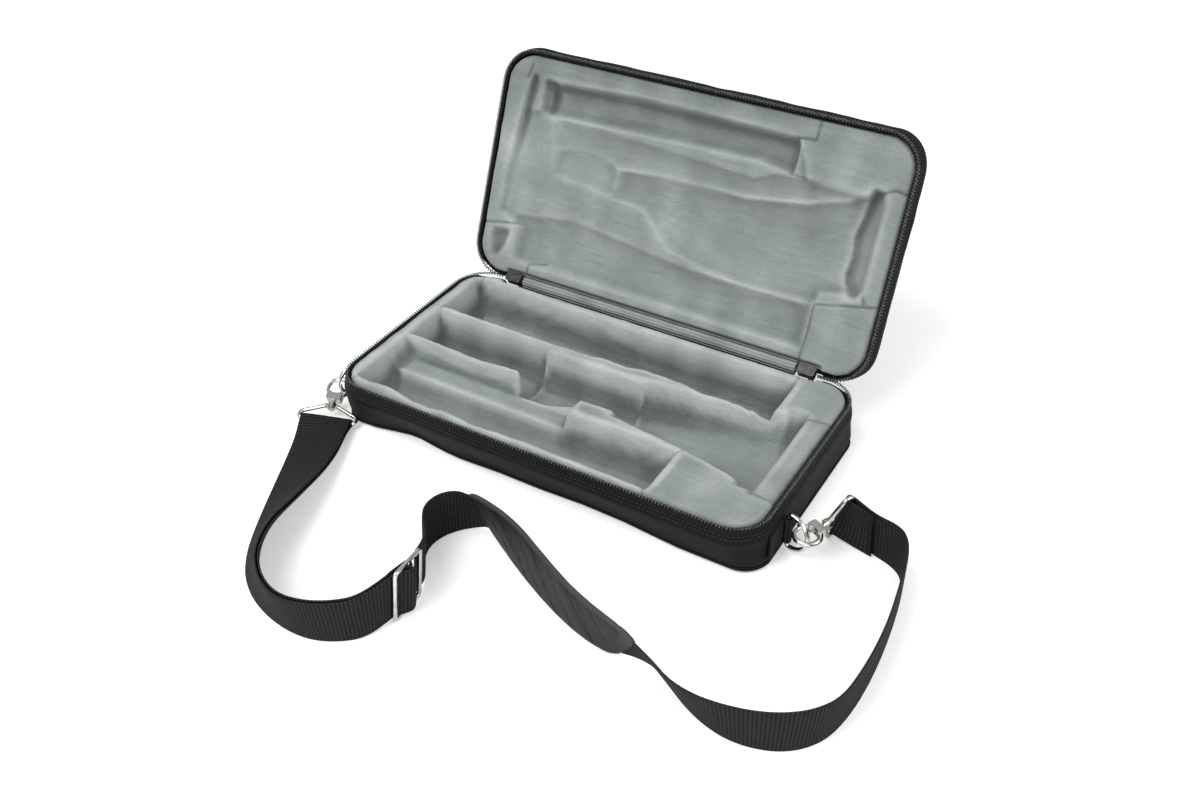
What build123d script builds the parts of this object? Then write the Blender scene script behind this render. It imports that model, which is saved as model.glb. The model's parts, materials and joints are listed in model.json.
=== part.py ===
"""Soft zip-round case for a two-piece clarinet, standing open, with its shoulder strap.

Millimetres, Z up. The origin is the centre of the base's flat underside, +X runs along the case
to the bell end and -Y is the front, opposite the hinge. The lid is modelled shut and then turned
back about the hinge line to where its zip tapes hold it.
"""

import os
from math import asin, cos, degrees, radians, sin, sqrt

from build123d import *

# ---------------------------------------------------------------- driving dimensions
# Moulded linings: both halves share one outline
LINING_LENGTH = 320.0
LINING_WIDTH = 167.0
LINING_CORNER = 22.0
BASE_HEIGHT = 40.0
LID_DEPTH = 40.0
RIM_GAP = 1.0
OPEN_ANGLE = 113.0

# Layers of a wall, measured inwards from the outer face of the cover
COVER = 1.4
TRAY_INSET = 1.6
TRAY_WALL = 2.1
LINING_INSET = 4.0
BOTTOM_SHEET = 1.4
LAYER_GAP = 0.2
LINING_GAP = 0.3
FLOOR_SHEET = 1.4

# How far the cover stands out from the lining outline: depth below the rim, ends, front, back
BASE_BULGE = ((0.0, 3.9, 3.9, 3.9), (7.0, 4.9, 4.9, 4.5), (12.0, 5.6, 5.6, 4.6), (36.0, 5.4, -3.0, 1.5))
LID_BULGE = (
    (0.0, 3.9, 3.9, 3.9),
    (7.0, 4.9, 4.9, 3.9),
    (12.0, 5.6, 5.6, 3.8),
    (22.0, 3.0, 4.0, 3.5),
    (32.0, -1.5, 1.5, 3.2),
    (38.0, -4.5, -1.0, 3.0),
)

# Seams and zip
SEAM_DEPTH = 7.0
TAPE_INSET = 0.6
TAPE_THICKNESS = 0.8
TAPE_TOP = 1.7
COIL_RADIUS = 1.0
COIL_OFFSET = 2.9
COIL_DEPTH = 0.6
BASE_PIPING = 1.55
LID_PIPING = 1.5
PIPING_INSET = 1.0
PIPING_GAP = 0.2

# Hinge line: three concentric strips stand in for the folded cloth
HINGE_BEHIND = 1.5
HINGE_ABOVE = 2.0
HINGE_CLEARANCE = 6.2
HINGE_HALF_LENGTH = 114.6
SLIDER_GAP = 8.4
NOTCH_RADIUS = 12.0
NOTCH_HALF_LENGTH = 8.5
ROLL_RADIUS = 3.4
SLEEVE_INNER = 4.0
SLEEVE_OUTER = 4.7
STRIP_INNER = 5.0
STRIP_OUTER = 5.8

# Wells in the base
WELL_BOTTOM = 5.0
LEFT_BLOCK = 10.0
END_ROLL = 18.0
BACK_WELL_RADIUS = 21.5
BACK_WELL_LENGTH = 270.0
BACK_WELL_Y = 50.5
FRONT_WELL_RADIUS = 20.5
FRONT_WELL_LENGTH = 234.0
FRONT_WELL_Y = -56.5
KEY_RELIEF_LENGTH = 150.0
KEY_RELIEF_WIDTH = 21.0
KEY_RELIEF_DEPTH = 18.0
MOUTHPIECE_LENGTH = 98.0
MOUTHPIECE_RADIUS = 17.5
MOUTHPIECE_Y = 5.5
BARREL_LENGTH = 82.0
BARREL_RADIUS = 18.0
BARREL_Y = -1.0
BELL_SMALL = 22.0
BELL_LARGE = 40.5
BELL_Y = -2.0
BELL_SLOT = 11.5
BELL_SLOT_RADIUS = 44.0
END_ROLL_FRONT = -50.0
END_ROLL_BACK = 38.0
END_ROLL_CROWN = 6.0

# Relief of the lid, with v measured from the hinge edge of the plush
LID_PAD = 7.0
FIELD_INSET = 19.0
FIELD_HINGE_EDGE = 12.0
FIELD_FRONT_EDGE = 153.0
FIELD_DEPTH = 6.0
TROUGH_LENGTH = 219.0
TROUGH_WIDTH = 25.0
TROUGH_DEPTH = 14.0
SLOT_WIDTH = 21.0
SLOT_END_GAP = 13.0
SLOT_HINGE_EDGE = 55.0
SLOT_FRONT_EDGE = 131.0
SLOT_DEPTH = 30.0
LEFT_BORDER = 17.0
POCKET_SIZE = (22.0, 29.0)
POCKET_HINGE_EDGE = 8.0
POCKET_DEPTH = 8.0
CORNER_BLOCK = (64.0, 27.0)
END_BLOCK = (25.0, 32.0)
END_BLOCK_HINGE_EDGE = 22.0

# D-rings and their sewn tabs
WIRE = 1.5
RING_HALF_BAR = 13.0
RING_CORNER = 2.5
TAB_THICKNESS = 1.3
TAB_TAIL = 22.0
TAB_CLEARANCE = 0.3
RIGHT_TAB_Y = -46.0
RIGHT_TAB_Z = 18.0
LEFT_TAB_Y = -53.0
LEFT_TAB_Z = 16.0
LEFT_RING_TURN = 245.0
RIGHT_RING_TURN = -15.0

# Swivel hooks
CLAW_RADIUS = 8.0
CLAW_WIRE = 1.8
CLAW_START = 128.0
CLAW_END = 332.0
GATE_WIRE = 1.3
GATE_END = 123.0
GATE_PIVOT = (7.4, 4.2)
GATE_ROOT = 1.9
GATE_WIDTH = 2.6
GATE_PIN = 0.9
NOSE_GAP = 0.15
HOOK_FIT = 0.05
HOOK_BODY = ((4.8, 12.0), (-5.0, 6.2), 5.8)
SWIVEL_PIN = 1.6
SWIVEL_HEAD = 2.7
HEAD_LENGTH = 1.4
COLLAR_RADIUS = 3.6
COLLAR_START = 15.7
COLLAR_LENGTH = 2.5
BAR_DISTANCE = 30.0
RING_SIDE = 5.2
RING_GAP = 0.4
RING_SHOULDER = 3.0
RING_BEND = 1.8
EYE_SLACK = 1.0
LEFT_EYE_SHIFT = 1.0
RIGHT_EYE_SHIFT = 1.0

# Shoulder strap
STRAP_WIDTH = 38.0
STRAP_THICKNESS = 1.6
STRAP_WRAP = 0.3
RETURN_OFFSET = 2.3
FLOOR_GAP = 0.3
LEFT_HOOK_AXIS = (0.33, -0.91, -0.25)
LEFT_BAR_AXIS = (0.95, 0.3, -0.06)
RIGHT_HOOK_AXIS = (0.39, 0.92, 0.03)
RIGHT_BAR_AXIS = (0.242, -0.175, 0.955)
RIGHT_HOOK_Z = 21.4
LEFT_HOOK_Z = 13.8

# Lower edge of the strap on the floor (x, y) and its lean to the left of the way it runs, by
# hand from the left hook round to the right one
ROUTE_TO_BUCKLE = (
    (-177, -116, 80),
    (-165, -139, 76),
    (-153, -164, 66),
    (-142, -187, 54),
    (-133, -205, 45),
    (-124, -221, 35),
    (-113, -235, 27),
    (-102, -244, 19),
    (-89, -251, 8),
    (-72, -256, -4),
    (-55, -258, -11),
    (-39, -256, -10),
    (-25, -249, -9),
    (-14, -239, -8),
)
ROUTE_TO_PAD = (
    (-13, -182, -6),
    (-22, -172, -4),
    (-28, -160, -2),
    (-27, -147, -2),
    (-21, -136, -6),
    (-13, -128, -16),
)
ROUTE_IN_PAD = (
    (-2, -126, -22),
    (11, -134, -14),
    (36, -148, -4),
    (66, -163, -5),
    (92, -173, -9),
    (112, -177, -13),
    (123, -176, -19),
    (135, -174, -25),
    (148, -176, -28),
)
ROUTE_TO_RING = (
    (161, -182, -24),
    (175, -190, -23),
    (189, -195, -18),
    (203, -197, -12),
    (217, -195, -9),
    (230, -190, -7),
    (241, -181, -7),
    (249, -168, -7),
    (253, -148, -4),
    (254, -125, -3),
    (253, -100, -2),
    (250, -72, 0),
    (246, -48, 0),
    (241, -33, 3),
    (232, -26, 5),
    (218, -22, 8),
)
BUCKLE_CENTRE = (-6.5, -208.0)
BUCKLE_HEADING = (-0.04, 1.0)
BUCKLE_LEAN = -7.0
BUCKLE_SIZE = (43.4, 28.0, 2.4)
BUCKLE_RAIL = 2.2
BUCKLE_END_BAR = 3.5
BUCKLE_CORNER = 4.0
PAD_WIDTH = 46.0
PAD_THICKNESS = 5.0
PAD_GAP = 0.3

# Zip slider and pull
SLIDER_LENGTH = 13.0
SLIDER_WIDTH = 8.4
SLIDER_PLATE = 1.1
SLIDER_THROAT = 4.4
SLIDER_POST = 3.0
LUG_RADIUS = 4.6
LUG_PIN = 0.6
LUG_CHEEK = 0.8
PULL_LENGTH = 20.0
PULL_NECK = 3.2
PULL_WIDTH = 5.0
PULL_THICKNESS = 1.2

# ---------------------------------------------------------------- derived places
HALF_LENGTH = LINING_LENGTH / 2
HALF_WIDTH = LINING_WIDTH / 2
LID_RIM = BASE_HEIGHT + RIM_GAP
LID_TOP = LID_RIM + LID_DEPTH
HINGE_Y = HALF_WIDTH + HINGE_BEHIND
HINGE_Z = BASE_HEIGHT + HINGE_ABOVE
HINGE = Axis((0, HINGE_Y, HINGE_Z), (1, 0, 0))
SLIDER_PLACE = HINGE_HALF_LENGTH + SLIDER_GAP
TRAY_BOTTOM = BOTTOM_SHEET + LAYER_GAP
FLOOR_BOTTOM = TRAY_BOTTOM + TRAY_WALL + 0.3
LINING_BOTTOM = FLOOR_BOTTOM + FLOOR_SHEET + 0.1
LID_LINING_TOP = LID_DEPTH - BOTTOM_SHEET - LAYER_GAP - TRAY_WALL - 0.3
WELL_START = -HALF_LENGTH + LEFT_BLOCK
ROLL_START = HALF_LENGTH - END_ROLL
BELL_START = WELL_START + MOUTHPIECE_LENGTH + BARREL_LENGTH
FRONT_WELL_END = WELL_START + FRONT_WELL_LENGTH
BACK_WELL_END = WELL_START + BACK_WELL_LENGTH
FAR = LINING_LENGTH

os.makedirs("parts", exist_ok=True)


def save(name, shape):
    """Write one node's STEP file and say how large it is."""
    export_step(shape, f"parts/{name}.step")
    print(f"{name}: {len(shape.solids())} solid, {shape.volume:.0f} mm3")


def block(x, y, z):
    """Box between two corners, each argument a (low, high) pair."""
    size = [span[1] - span[0] for span in (x, y, z)]
    middle = [(span[1] + span[0]) / 2 for span in (x, y, z)]
    return Pos(*middle) * Box(*size)


def rod(start, end, radius):
    """Round bar from one point to another."""
    path = Vector(*end) - Vector(*start)
    place = Plane(origin=Vector(*start), z_dir=path)
    return place * Cylinder(radius, path.length, align=(Align.CENTER, Align.CENTER, Align.MIN))


def tube_along(path, radius):
    """Round wire along a path."""
    section = Plane(origin=path @ 0, z_dir=path % 0) * Circle(radius)
    return sweep(section, path)


# ---------------------------------------------------------------- walls of both halves
def base_levels():
    """Outward steps of the base's cover from below its underside to above its rim."""
    levels = [(BASE_HEIGHT - depth, ends, front, back) for depth, ends, front, back in BASE_BULGE]
    return extend([level for level in reversed(levels)])


def lid_levels():
    """Outward steps of the shut lid's cover from below its rim to above its top."""
    return extend([(LID_RIM + depth, ends, front, back) for depth, ends, front, back in LID_BULGE])


def extend(levels):
    """Carry the first and last outline a little further, so cuts pass through cleanly."""
    reach = 6.0
    low, high = levels[0], levels[-1]
    return [(low[0] - reach, *low[1:]), *levels, (high[0] + reach, *high[1:])]


def outline(ends, front, back, inset):
    """Rounded rectangle of the wall at one level, drawn in by inset."""
    length = LINING_LENGTH + 2 * (ends - inset)
    width = LINING_WIDTH + front + back - 2 * inset
    corner = max(LINING_CORNER + min(ends, front, back) - inset, 3.0)
    return Pos(0, (back - front) / 2) * RectangleRounded(length, width, corner)


def skin(levels, inset, low, high):
    """Solid inside the cover's outer face, drawn in by inset, between two heights."""
    sections = [Pos(0, 0, level[0]) * outline(*level[1:], inset) for level in levels]
    body = loft(sections, ruled=True)
    return body & block((-FAR, FAR), (-FAR, FAR), (low, high))


def wall(levels, inset, thickness, low, high):
    """Closed band of one layer between two heights."""
    return skin(levels, inset, low, high) - skin(levels, inset + thickness, low - 1, high + 1)


def level_at(levels, z):
    """Outward steps of the cover at one height, between the named levels."""
    for lower, upper in zip(levels, levels[1:]):
        if lower[0] <= z <= upper[0]:
            share = (z - lower[0]) / (upper[0] - lower[0])
            return tuple(a + (b - a) * share for a, b in zip(lower[1:], upper[1:]))
    raise ValueError(f"no level at {z}")


def bead(levels, z, inset, radius):
    """Round bead that runs right round a half at one height."""
    path = (Pos(0, 0, z) * outline(*level_at(levels, z), inset)).wire()
    return tube_along(path, radius)


def coil(z, radius):
    """Zip coil round the rim, at its own offset from the lining outline."""
    path = (Pos(0, 0, z) * outline(COIL_OFFSET, COIL_OFFSET, COIL_OFFSET, 0)).wire()
    return tube_along(path, radius)


def hinge_rod(radius, half_length):
    """Cylinder on the hinge line."""
    return rod((-half_length, HINGE_Y, HINGE_Z), (half_length, HINGE_Y, HINGE_Z), radius)


def hinge_sector(inner, outer, first, last, half_length):
    """Part of a tube round the hinge line, angles from +Y towards +Z."""
    ring = Circle(outer) - Circle(inner) if inner else Circle(outer)
    wedge = Polyline(
        (0, 0),
        *[(4 * outer * cos(radians(a)), 4 * outer * sin(radians(a))) for a in steps(first, last, 60)],
        close=True,
    )
    profile = ring & make_face(wedge)
    place = Plane(origin=(-half_length, HINGE_Y, HINGE_Z), x_dir=(0, 1, 0), z_dir=(1, 0, 0))
    return extrude(place * profile, 2 * half_length)


def steps(first, last, widest):
    """Evenly spaced values from first to last, no further apart than widest."""
    count = max(1, int(-(-abs(last - first) // widest)))
    return [first + (last - first) * i / count for i in range(count + 1)]


COVER_REACH = HALF_LENGTH - 5.0
SLIDER_REACH = SLIDER_PLACE + NOTCH_HALF_LENGTH


def hinge_room():
    """Space that the covers of both halves leave round the hinge line and the zip sliders."""
    room = hinge_rod(HINGE_CLEARANCE, COVER_REACH)
    for side in (-1, 1):
        middle = side * SLIDER_PLACE
        start = (middle - NOTCH_HALF_LENGTH, HINGE_Y, HINGE_Z)
        end = (middle + NOTCH_HALF_LENGTH, HINGE_Y, HINGE_Z)
        room += rod(start, end, NOTCH_RADIUS)
    return room


# ---------------------------------------------------------------- base
def make_base_walls():
    """Cover, piping, tray and zip half of the base."""
    levels = base_levels()
    room = hinge_room()
    piping_z = TRAY_BOTTOM + BASE_PIPING - 0.05
    panel_low = piping_z + BASE_PIPING + 0.15
    panel_high = BASE_HEIGHT - SEAM_DEPTH
    tray_top = BASE_HEIGHT - COIL_DEPTH - COIL_RADIUS - 0.3
    tray = skin(levels, TRAY_INSET, TRAY_BOTTOM, tray_top)
    tray -= skin(levels, TRAY_INSET + TRAY_WALL, TRAY_BOTTOM + TRAY_WALL, tray_top + 1)
    tray -= bead(levels, piping_z, PIPING_INSET, BASE_PIPING + PIPING_GAP)
    tape = wall(levels, TAPE_INSET, TAPE_THICKNESS, panel_high + LAYER_GAP, BASE_HEIGHT - TAPE_TOP)
    panel = wall(levels, 0, COVER, panel_low, panel_high)
    save("base_bottom_panel", skin(levels, TAPE_INSET + 0.2, 0, BOTTOM_SHEET))
    save("base_side_panel", panel - room)
    save("base_piping", bead(levels, piping_z, PIPING_INSET, BASE_PIPING))
    save("base_tray", tray - room)
    save("base_zip_tape", tape - room)
    save("base_zip_coil", coil(BASE_HEIGHT - COIL_DEPTH, COIL_RADIUS) - room)


def well(start, end, y, radius):
    """Open trough with a round bottom along X."""
    axis_z = WELL_BOTTOM + radius
    return rod((start, y, axis_z), (end, y, axis_z), radius) + block(
        (start, end), (y - radius, y + radius), (axis_z, BASE_HEIGHT + 10)
    )


def bell_well():
    """Flaring trough for the bell, with the slot that takes its rim."""
    end = ROLL_START - LINING_GAP
    slot_start = end - BELL_SLOT
    length = end - BELL_START
    flare = [
        Plane(origin=(x, BELL_Y, WELL_BOTTOM + r), z_dir=(1, 0, 0)) * Circle(r)
        for x, r in ((BELL_START, BELL_SMALL), (BELL_START + length, BELL_LARGE))
    ]
    cone = loft(flare, ruled=True)
    top = BASE_HEIGHT + 10
    mouth = Polyline(
        (BELL_START, BELL_Y - BELL_SMALL),
        (end, BELL_Y - BELL_LARGE),
        (end, BELL_Y + BELL_LARGE),
        (BELL_START, BELL_Y + BELL_SMALL),
        close=True,
    )
    low_z = WELL_BOTTOM + BELL_LARGE
    above = Pos(0, 0, min(low_z, BASE_HEIGHT)) * extrude(make_face(mouth), top - min(low_z, BASE_HEIGHT))
    rim_z = WELL_BOTTOM + BELL_SLOT_RADIUS
    slot = rod((slot_start, BELL_Y, rim_z), (end, BELL_Y, rim_z), BELL_SLOT_RADIUS)
    return cone + above + slot


def base_lining_tools():
    """Every hollow of the base's lining."""
    wells = well(WELL_START, BACK_WELL_END, BACK_WELL_Y, BACK_WELL_RADIUS)
    wells += well(WELL_START, FRONT_WELL_END, FRONT_WELL_Y, FRONT_WELL_RADIUS)
    relief_start = FRONT_WELL_Y + FRONT_WELL_RADIUS - 1
    wells += block(
        (WELL_START, WELL_START + KEY_RELIEF_LENGTH),
        (relief_start, relief_start + 1 + KEY_RELIEF_WIDTH),
        (BASE_HEIGHT - KEY_RELIEF_DEPTH, BASE_HEIGHT + 10),
    )
    mouthpiece_end = WELL_START + MOUTHPIECE_LENGTH
    wells += well(WELL_START, mouthpiece_end, MOUTHPIECE_Y, MOUTHPIECE_RADIUS)
    wells += well(mouthpiece_end, BELL_START, BARREL_Y, BARREL_RADIUS)
    wells += bell_well()
    return wells


def end_roll(body):
    """Crowned cushion beside the bell's rim."""
    half_gap = LINING_GAP / 2
    top = BASE_HEIGHT
    low, high = END_ROLL_FRONT + half_gap, END_ROLL_BACK - half_gap
    left, right = ROLL_START, HALF_LENGTH - 0.1
    crown = Polyline(
        (left, LINING_BOTTOM),
        (right, LINING_BOTTOM),
        (right, top - END_ROLL_CROWN / 2),
        (right - END_ROLL_CROWN / 3, top - END_ROLL_CROWN / 6),
        (right - END_ROLL_CROWN, top),
        (left + END_ROLL_CROWN, top),
        (left + END_ROLL_CROWN / 3, top - END_ROLL_CROWN / 6),
        (left, top - END_ROLL_CROWN / 2),
        close=True,
    )
    place = Plane(origin=(0, high, 0), x_dir=(1, 0, 0), z_dir=(0, -1, 0))
    return extrude(place * make_face(crown), high - low) & body


def make_base_lining():
    """Moulded blocks of the base, parted where their plush covers meet."""
    levels = base_levels()
    plush_room = hinge_rod(HINGE_CLEARANCE, SLIDER_REACH)
    body = skin(levels, LINING_INSET, LINING_BOTTOM, BASE_HEIGHT) - plush_room
    save("base_lining_floor", skin(levels, LINING_INSET, FLOOR_BOTTOM, FLOOR_BOTTOM + FLOOR_SHEET))
    foam = body - base_lining_tools()
    half = LINING_GAP / 2
    tall = (0, BASE_HEIGHT + 1)
    far = (-FAR, FAR)
    mid_x = (WELL_START + half, ROLL_START - half)
    front_x = (WELL_START + half, FRONT_WELL_END - half)
    back_x = (WELL_START + half, BACK_WELL_END - half)
    channel = (
        (WELL_START, WELL_START + MOUTHPIECE_LENGTH, MOUTHPIECE_Y),
        (WELL_START + MOUTHPIECE_LENGTH, BELL_START, BARREL_Y),
        (BELL_START, ROLL_START, BELL_Y),
    )
    middle_front = middle_back = None
    for start, end, y in channel:
        front_piece = block((start, end), (-FAR, y), tall)
        back_piece = block((start, end), (y, FAR), tall)
        middle_front = front_piece if middle_front is None else middle_front + front_piece
        middle_back = back_piece if middle_back is None else middle_back + back_piece
    blocks = {
        "left_end_block": block((-FAR, WELL_START - half), far, tall),
        "front_rail": block(front_x, (-FAR, FRONT_WELL_Y), tall),
        "front_divider": block(front_x, (FRONT_WELL_Y, FAR), tall) & middle_front,
        "right_front_block": block((FRONT_WELL_END + half, mid_x[1]), far, tall) & middle_front,
        "back_divider": block(back_x, (-FAR, BACK_WELL_Y), tall) & middle_back,
        "back_rail": block(back_x, (BACK_WELL_Y, FAR), tall),
        "back_right_block": block((BACK_WELL_END + half, mid_x[1]), far, tall) & middle_back,
    }
    beyond = block((ROLL_START + half, FAR), far, tall)
    blocks["right_front_block"] += beyond & block((ROLL_START, FAR), (-FAR, END_ROLL_FRONT - half), tall)
    blocks["right_front_block"] += block(
        (ROLL_START - 1, ROLL_START + 1), (-FAR, END_ROLL_FRONT - half), tall
    )
    blocks["back_right_block"] += beyond & block((ROLL_START, FAR), (END_ROLL_BACK + half, FAR), tall)
    blocks["back_right_block"] += block(
        (ROLL_START - 1, ROLL_START + 1), (END_ROLL_BACK + half, FAR), tall
    )
    for name, region in blocks.items():
        save(name, foam & region)
    save("end_roll", end_roll(body))


def make_hinge():
    """Cloth of the hinge line: outer strip and roll on the base, sleeve on the lid."""
    foot = hinge_sector(STRIP_INNER, HINGE_CLEARANCE, -96, -86, HINGE_HALF_LENGTH)
    strip = hinge_sector(STRIP_INNER, STRIP_OUTER, -96, -34, HINGE_HALF_LENGTH) + foot
    save("hinge_outer_strip", strip)
    web = hinge_sector(ROLL_RADIUS - 1, HINGE_CLEARANCE - 0.2, -160, -150, HINGE_HALF_LENGTH)
    save("hinge_plush_roll", hinge_rod(ROLL_RADIUS, HINGE_HALF_LENGTH) + web)
    sleeve = hinge_sector(SLEEVE_INNER, SLEEVE_OUTER, -25, 180, HINGE_HALF_LENGTH)
    sleeve += hinge_sector(SLEEVE_OUTER - 0.3, HINGE_CLEARANCE - 0.2, 86, 94, HINGE_HALF_LENGTH)
    save("hinge_lid_sleeve", sleeve.rotate(HINGE, -OPEN_ANGLE))


# ---------------------------------------------------------------- lid
def make_lid_walls():
    """Cover, piping, shell and zip half of the lid."""
    levels = lid_levels()
    room = hinge_room()
    piping_z = LID_TOP - BOTTOM_SHEET - LAYER_GAP - LID_PIPING
    panel_high = piping_z - LID_PIPING - 0.15
    panel_low = LID_RIM + SEAM_DEPTH
    shell_top = LID_TOP - BOTTOM_SHEET - LAYER_GAP
    shell_low = LID_RIM + COIL_DEPTH + COIL_RADIUS + 0.3
    shell = skin(levels, TRAY_INSET, shell_low, shell_top)
    shell -= skin(levels, TRAY_INSET + TRAY_WALL, shell_low - 1, shell_top - TRAY_WALL)
    shell -= bead(levels, piping_z, PIPING_INSET, LID_PIPING + PIPING_GAP)
    tape = wall(levels, TAPE_INSET, TAPE_THICKNESS, LID_RIM + TAPE_TOP, panel_low - LAYER_GAP)
    pieces = {
        "lid_top_panel": skin(levels, TAPE_INSET + 0.2, LID_TOP - BOTTOM_SHEET, LID_TOP),
        "lid_side_panel": wall(levels, 0, COVER, panel_low, panel_high) - room,
        "lid_piping": bead(levels, piping_z, PIPING_INSET, LID_PIPING),
        "lid_shell": shell - room,
        "lid_zip_tape": tape - room,
        "lid_zip_coil": coil(LID_RIM + COIL_DEPTH, COIL_RADIUS) - room,
    }
    for name, piece in pieces.items():
        save(name, piece.rotate(HINGE, -OPEN_ANGLE))


def lid_block(x, v, depth, grow=0.0):
    """Box in the shut lid: x span, span from the hinge edge, depth, grown on all sides."""
    y = (HALF_WIDTH - v[1] - grow, HALF_WIDTH - v[0] + grow)
    z = (LID_RIM - 1, LID_RIM + depth + grow)
    return block((x[0] - grow, x[1] + grow), y, z)


def make_lid_lining():
    """Hollow-backed moulding of the lid, parted where its plush covers meet."""
    levels = lid_levels()
    body = skin(levels, LINING_INSET, LID_RIM, LID_RIM + LID_LINING_TOP)
    body -= hinge_rod(HINGE_CLEARANCE, SLIDER_REACH)
    field = (-HALF_LENGTH + FIELD_INSET, HALF_LENGTH - FIELD_INSET)
    field_v = (FIELD_HINGE_EDGE, FIELD_FRONT_EDGE)
    slot = (HALF_LENGTH - SLOT_END_GAP - SLOT_WIDTH, HALF_LENGTH - SLOT_END_GAP)
    slot_v = (SLOT_HINGE_EDGE, SLOT_FRONT_EDGE)
    trough = (field[0], field[0] + TROUGH_LENGTH)
    trough_v = (FIELD_FRONT_EDGE - TROUGH_WIDTH, FIELD_FRONT_EDGE)
    pocket = (-HALF_LENGTH + 6, -HALF_LENGTH + 6 + POCKET_SIZE[0])
    pocket_v = (POCKET_HINGE_EDGE, POCKET_HINGE_EDGE + POCKET_SIZE[1])
    corner = (field[1] - CORNER_BLOCK[0], field[1])
    corner_v = (FIELD_FRONT_EDGE + 1 - CORNER_BLOCK[1], FIELD_FRONT_EDGE + 1)
    end = (field[1] - END_BLOCK[0], field[1])
    end_v = (END_BLOCK_HINGE_EDGE, END_BLOCK_HINGE_EDGE + END_BLOCK[1])
    recess = lid_block(field, field_v, FIELD_DEPTH)
    recess -= lid_block(corner, corner_v, FIELD_DEPTH + 2) + lid_block(end, end_v, FIELD_DEPTH + 2)
    back = skin(levels, LINING_INSET + LID_PAD, LID_RIM + FIELD_DEPTH + LID_PAD, LID_TOP)
    back -= lid_block(trough, trough_v, TROUGH_DEPTH, LID_PAD)
    back -= lid_block(slot, slot_v, LID_DEPTH, LID_PAD - 2)
    back -= lid_block(pocket, pocket_v, POCKET_DEPTH, LID_PAD)
    foam = body - back - recess
    foam -= lid_block(trough, trough_v, TROUGH_DEPTH)
    foam -= lid_block(slot, slot_v, SLOT_DEPTH)
    foam -= lid_block(pocket, pocket_v, POCKET_DEPTH)
    half = LINING_GAP / 2
    whole_v = (-FAR, FAR)
    left_edge = -HALF_LENGTH + LEFT_BORDER
    centre_x = (left_edge + half, field[1] - half)
    deep = LID_DEPTH + 1
    front_v = (FIELD_FRONT_EDGE + 1 + half, FAR)
    corner_box = lid_block((corner[0] + half, centre_x[1]), (corner_v[0] + half, corner_v[1] - half), deep)
    corner_keep = lid_block((corner[0] - half, FAR), (corner_v[0] - half, FAR), deep)
    end_box = lid_block((end[0] + half, centre_x[1]), (end_v[0] + half, end_v[1] - half), deep)
    end_keep = lid_block((end[0] - half, FAR), (end_v[0] - half, end_v[1] + half), deep)
    centre_v = (-FAR, FIELD_FRONT_EDGE + 1 - half)
    regions = {
        "lid_left_border": lid_block((-FAR, left_edge - half), whole_v, deep),
        "lid_right_border": lid_block((field[1] + half, FAR), whole_v, deep),
        "lid_front_border": lid_block(centre_x, front_v, deep),
        "lid_corner_block": corner_box,
        "lid_end_block": end_box,
        "lid_centre_pad": lid_block(centre_x, centre_v, deep) - corner_keep - end_keep,
    }
    for name, region in regions.items():
        save(name, (foam & region).rotate(HINGE, -OPEN_ANGLE))


# ---------------------------------------------------------------- zip sliders
def slider_frame(side):
    """Place on the hinge line with Z outwards, halfway between the two open halves."""
    angle = radians(-OPEN_ANGLE / 2)
    outward = (0, cos(angle), sin(angle))
    return Plane(origin=(side * SLIDER_PLACE, HINGE_Y, HINGE_Z), x_dir=(1, 0, 0), z_dir=outward)


def make_sliders():
    """Both zip sliders, each with its pull."""
    plate_z = SLIDER_THROAT / 2
    cheek_top = LUG_RADIUS + LUG_PIN + 0.2
    pull_half = PULL_NECK / 2
    for side, word in ((-1, "left"), (1, "right")):
        place = slider_frame(side)
        half = SLIDER_LENGTH / 2
        plates = Pos(0, 0, plate_z + SLIDER_PLATE / 2) * Box(SLIDER_LENGTH, SLIDER_WIDTH, SLIDER_PLATE)
        plates += Pos(0, 0, -plate_z - SLIDER_PLATE / 2) * Box(SLIDER_LENGTH, SLIDER_WIDTH, SLIDER_PLATE)
        plates = fillet(plates.edges().filter_by(Axis.Z), 1.6)
        post_x = -side * (half - SLIDER_POST / 2)
        post = Pos(post_x, 0, 0) * Box(SLIDER_POST, SLIDER_POST, SLIDER_THROAT + 0.2)
        cheek_y = pull_half + 0.15
        cheeks = block((-1.4, 1.4), (cheek_y, cheek_y + LUG_CHEEK), (plate_z + 1, cheek_top))
        cheeks += block((-1.4, 1.4), (-cheek_y - LUG_CHEEK, -cheek_y), (plate_z + 1, cheek_top))
        reach = cheek_y + LUG_CHEEK / 2
        pin = rod((0, -reach, LUG_RADIUS), (0, reach, LUG_RADIUS), LUG_PIN)
        save(f"zip_slider_{word}", place * (plates + post + cheeks + pin))
        eye = rod((0, -pull_half, LUG_RADIUS), (0, pull_half, LUG_RADIUS), LUG_PIN + HOOK_FIT + 0.55)
        neck_end = NOTCH_RADIUS
        thick = (-PULL_THICKNESS / 2, PULL_THICKNESS / 2)
        neck = block(thick, (-pull_half, pull_half), (LUG_RADIUS, neck_end))
        tab_end = LUG_RADIUS + PULL_LENGTH
        tab = block(thick, (-PULL_WIDTH / 2, PULL_WIDTH / 2), (neck_end, tab_end))
        tab = fillet(tab.edges().filter_by(Axis.X), 1.2)
        hole = rod((0, -FAR, LUG_RADIUS), (0, FAR, LUG_RADIUS), LUG_PIN + HOOK_FIT)
        tip_hole = rod((-FAR, 0, tab_end - 3.2), (FAR, 0, tab_end - 3.2), 1.3)
        save(f"zip_pull_{word}", place * (eye + neck + tab - hole - tip_hole))


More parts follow.
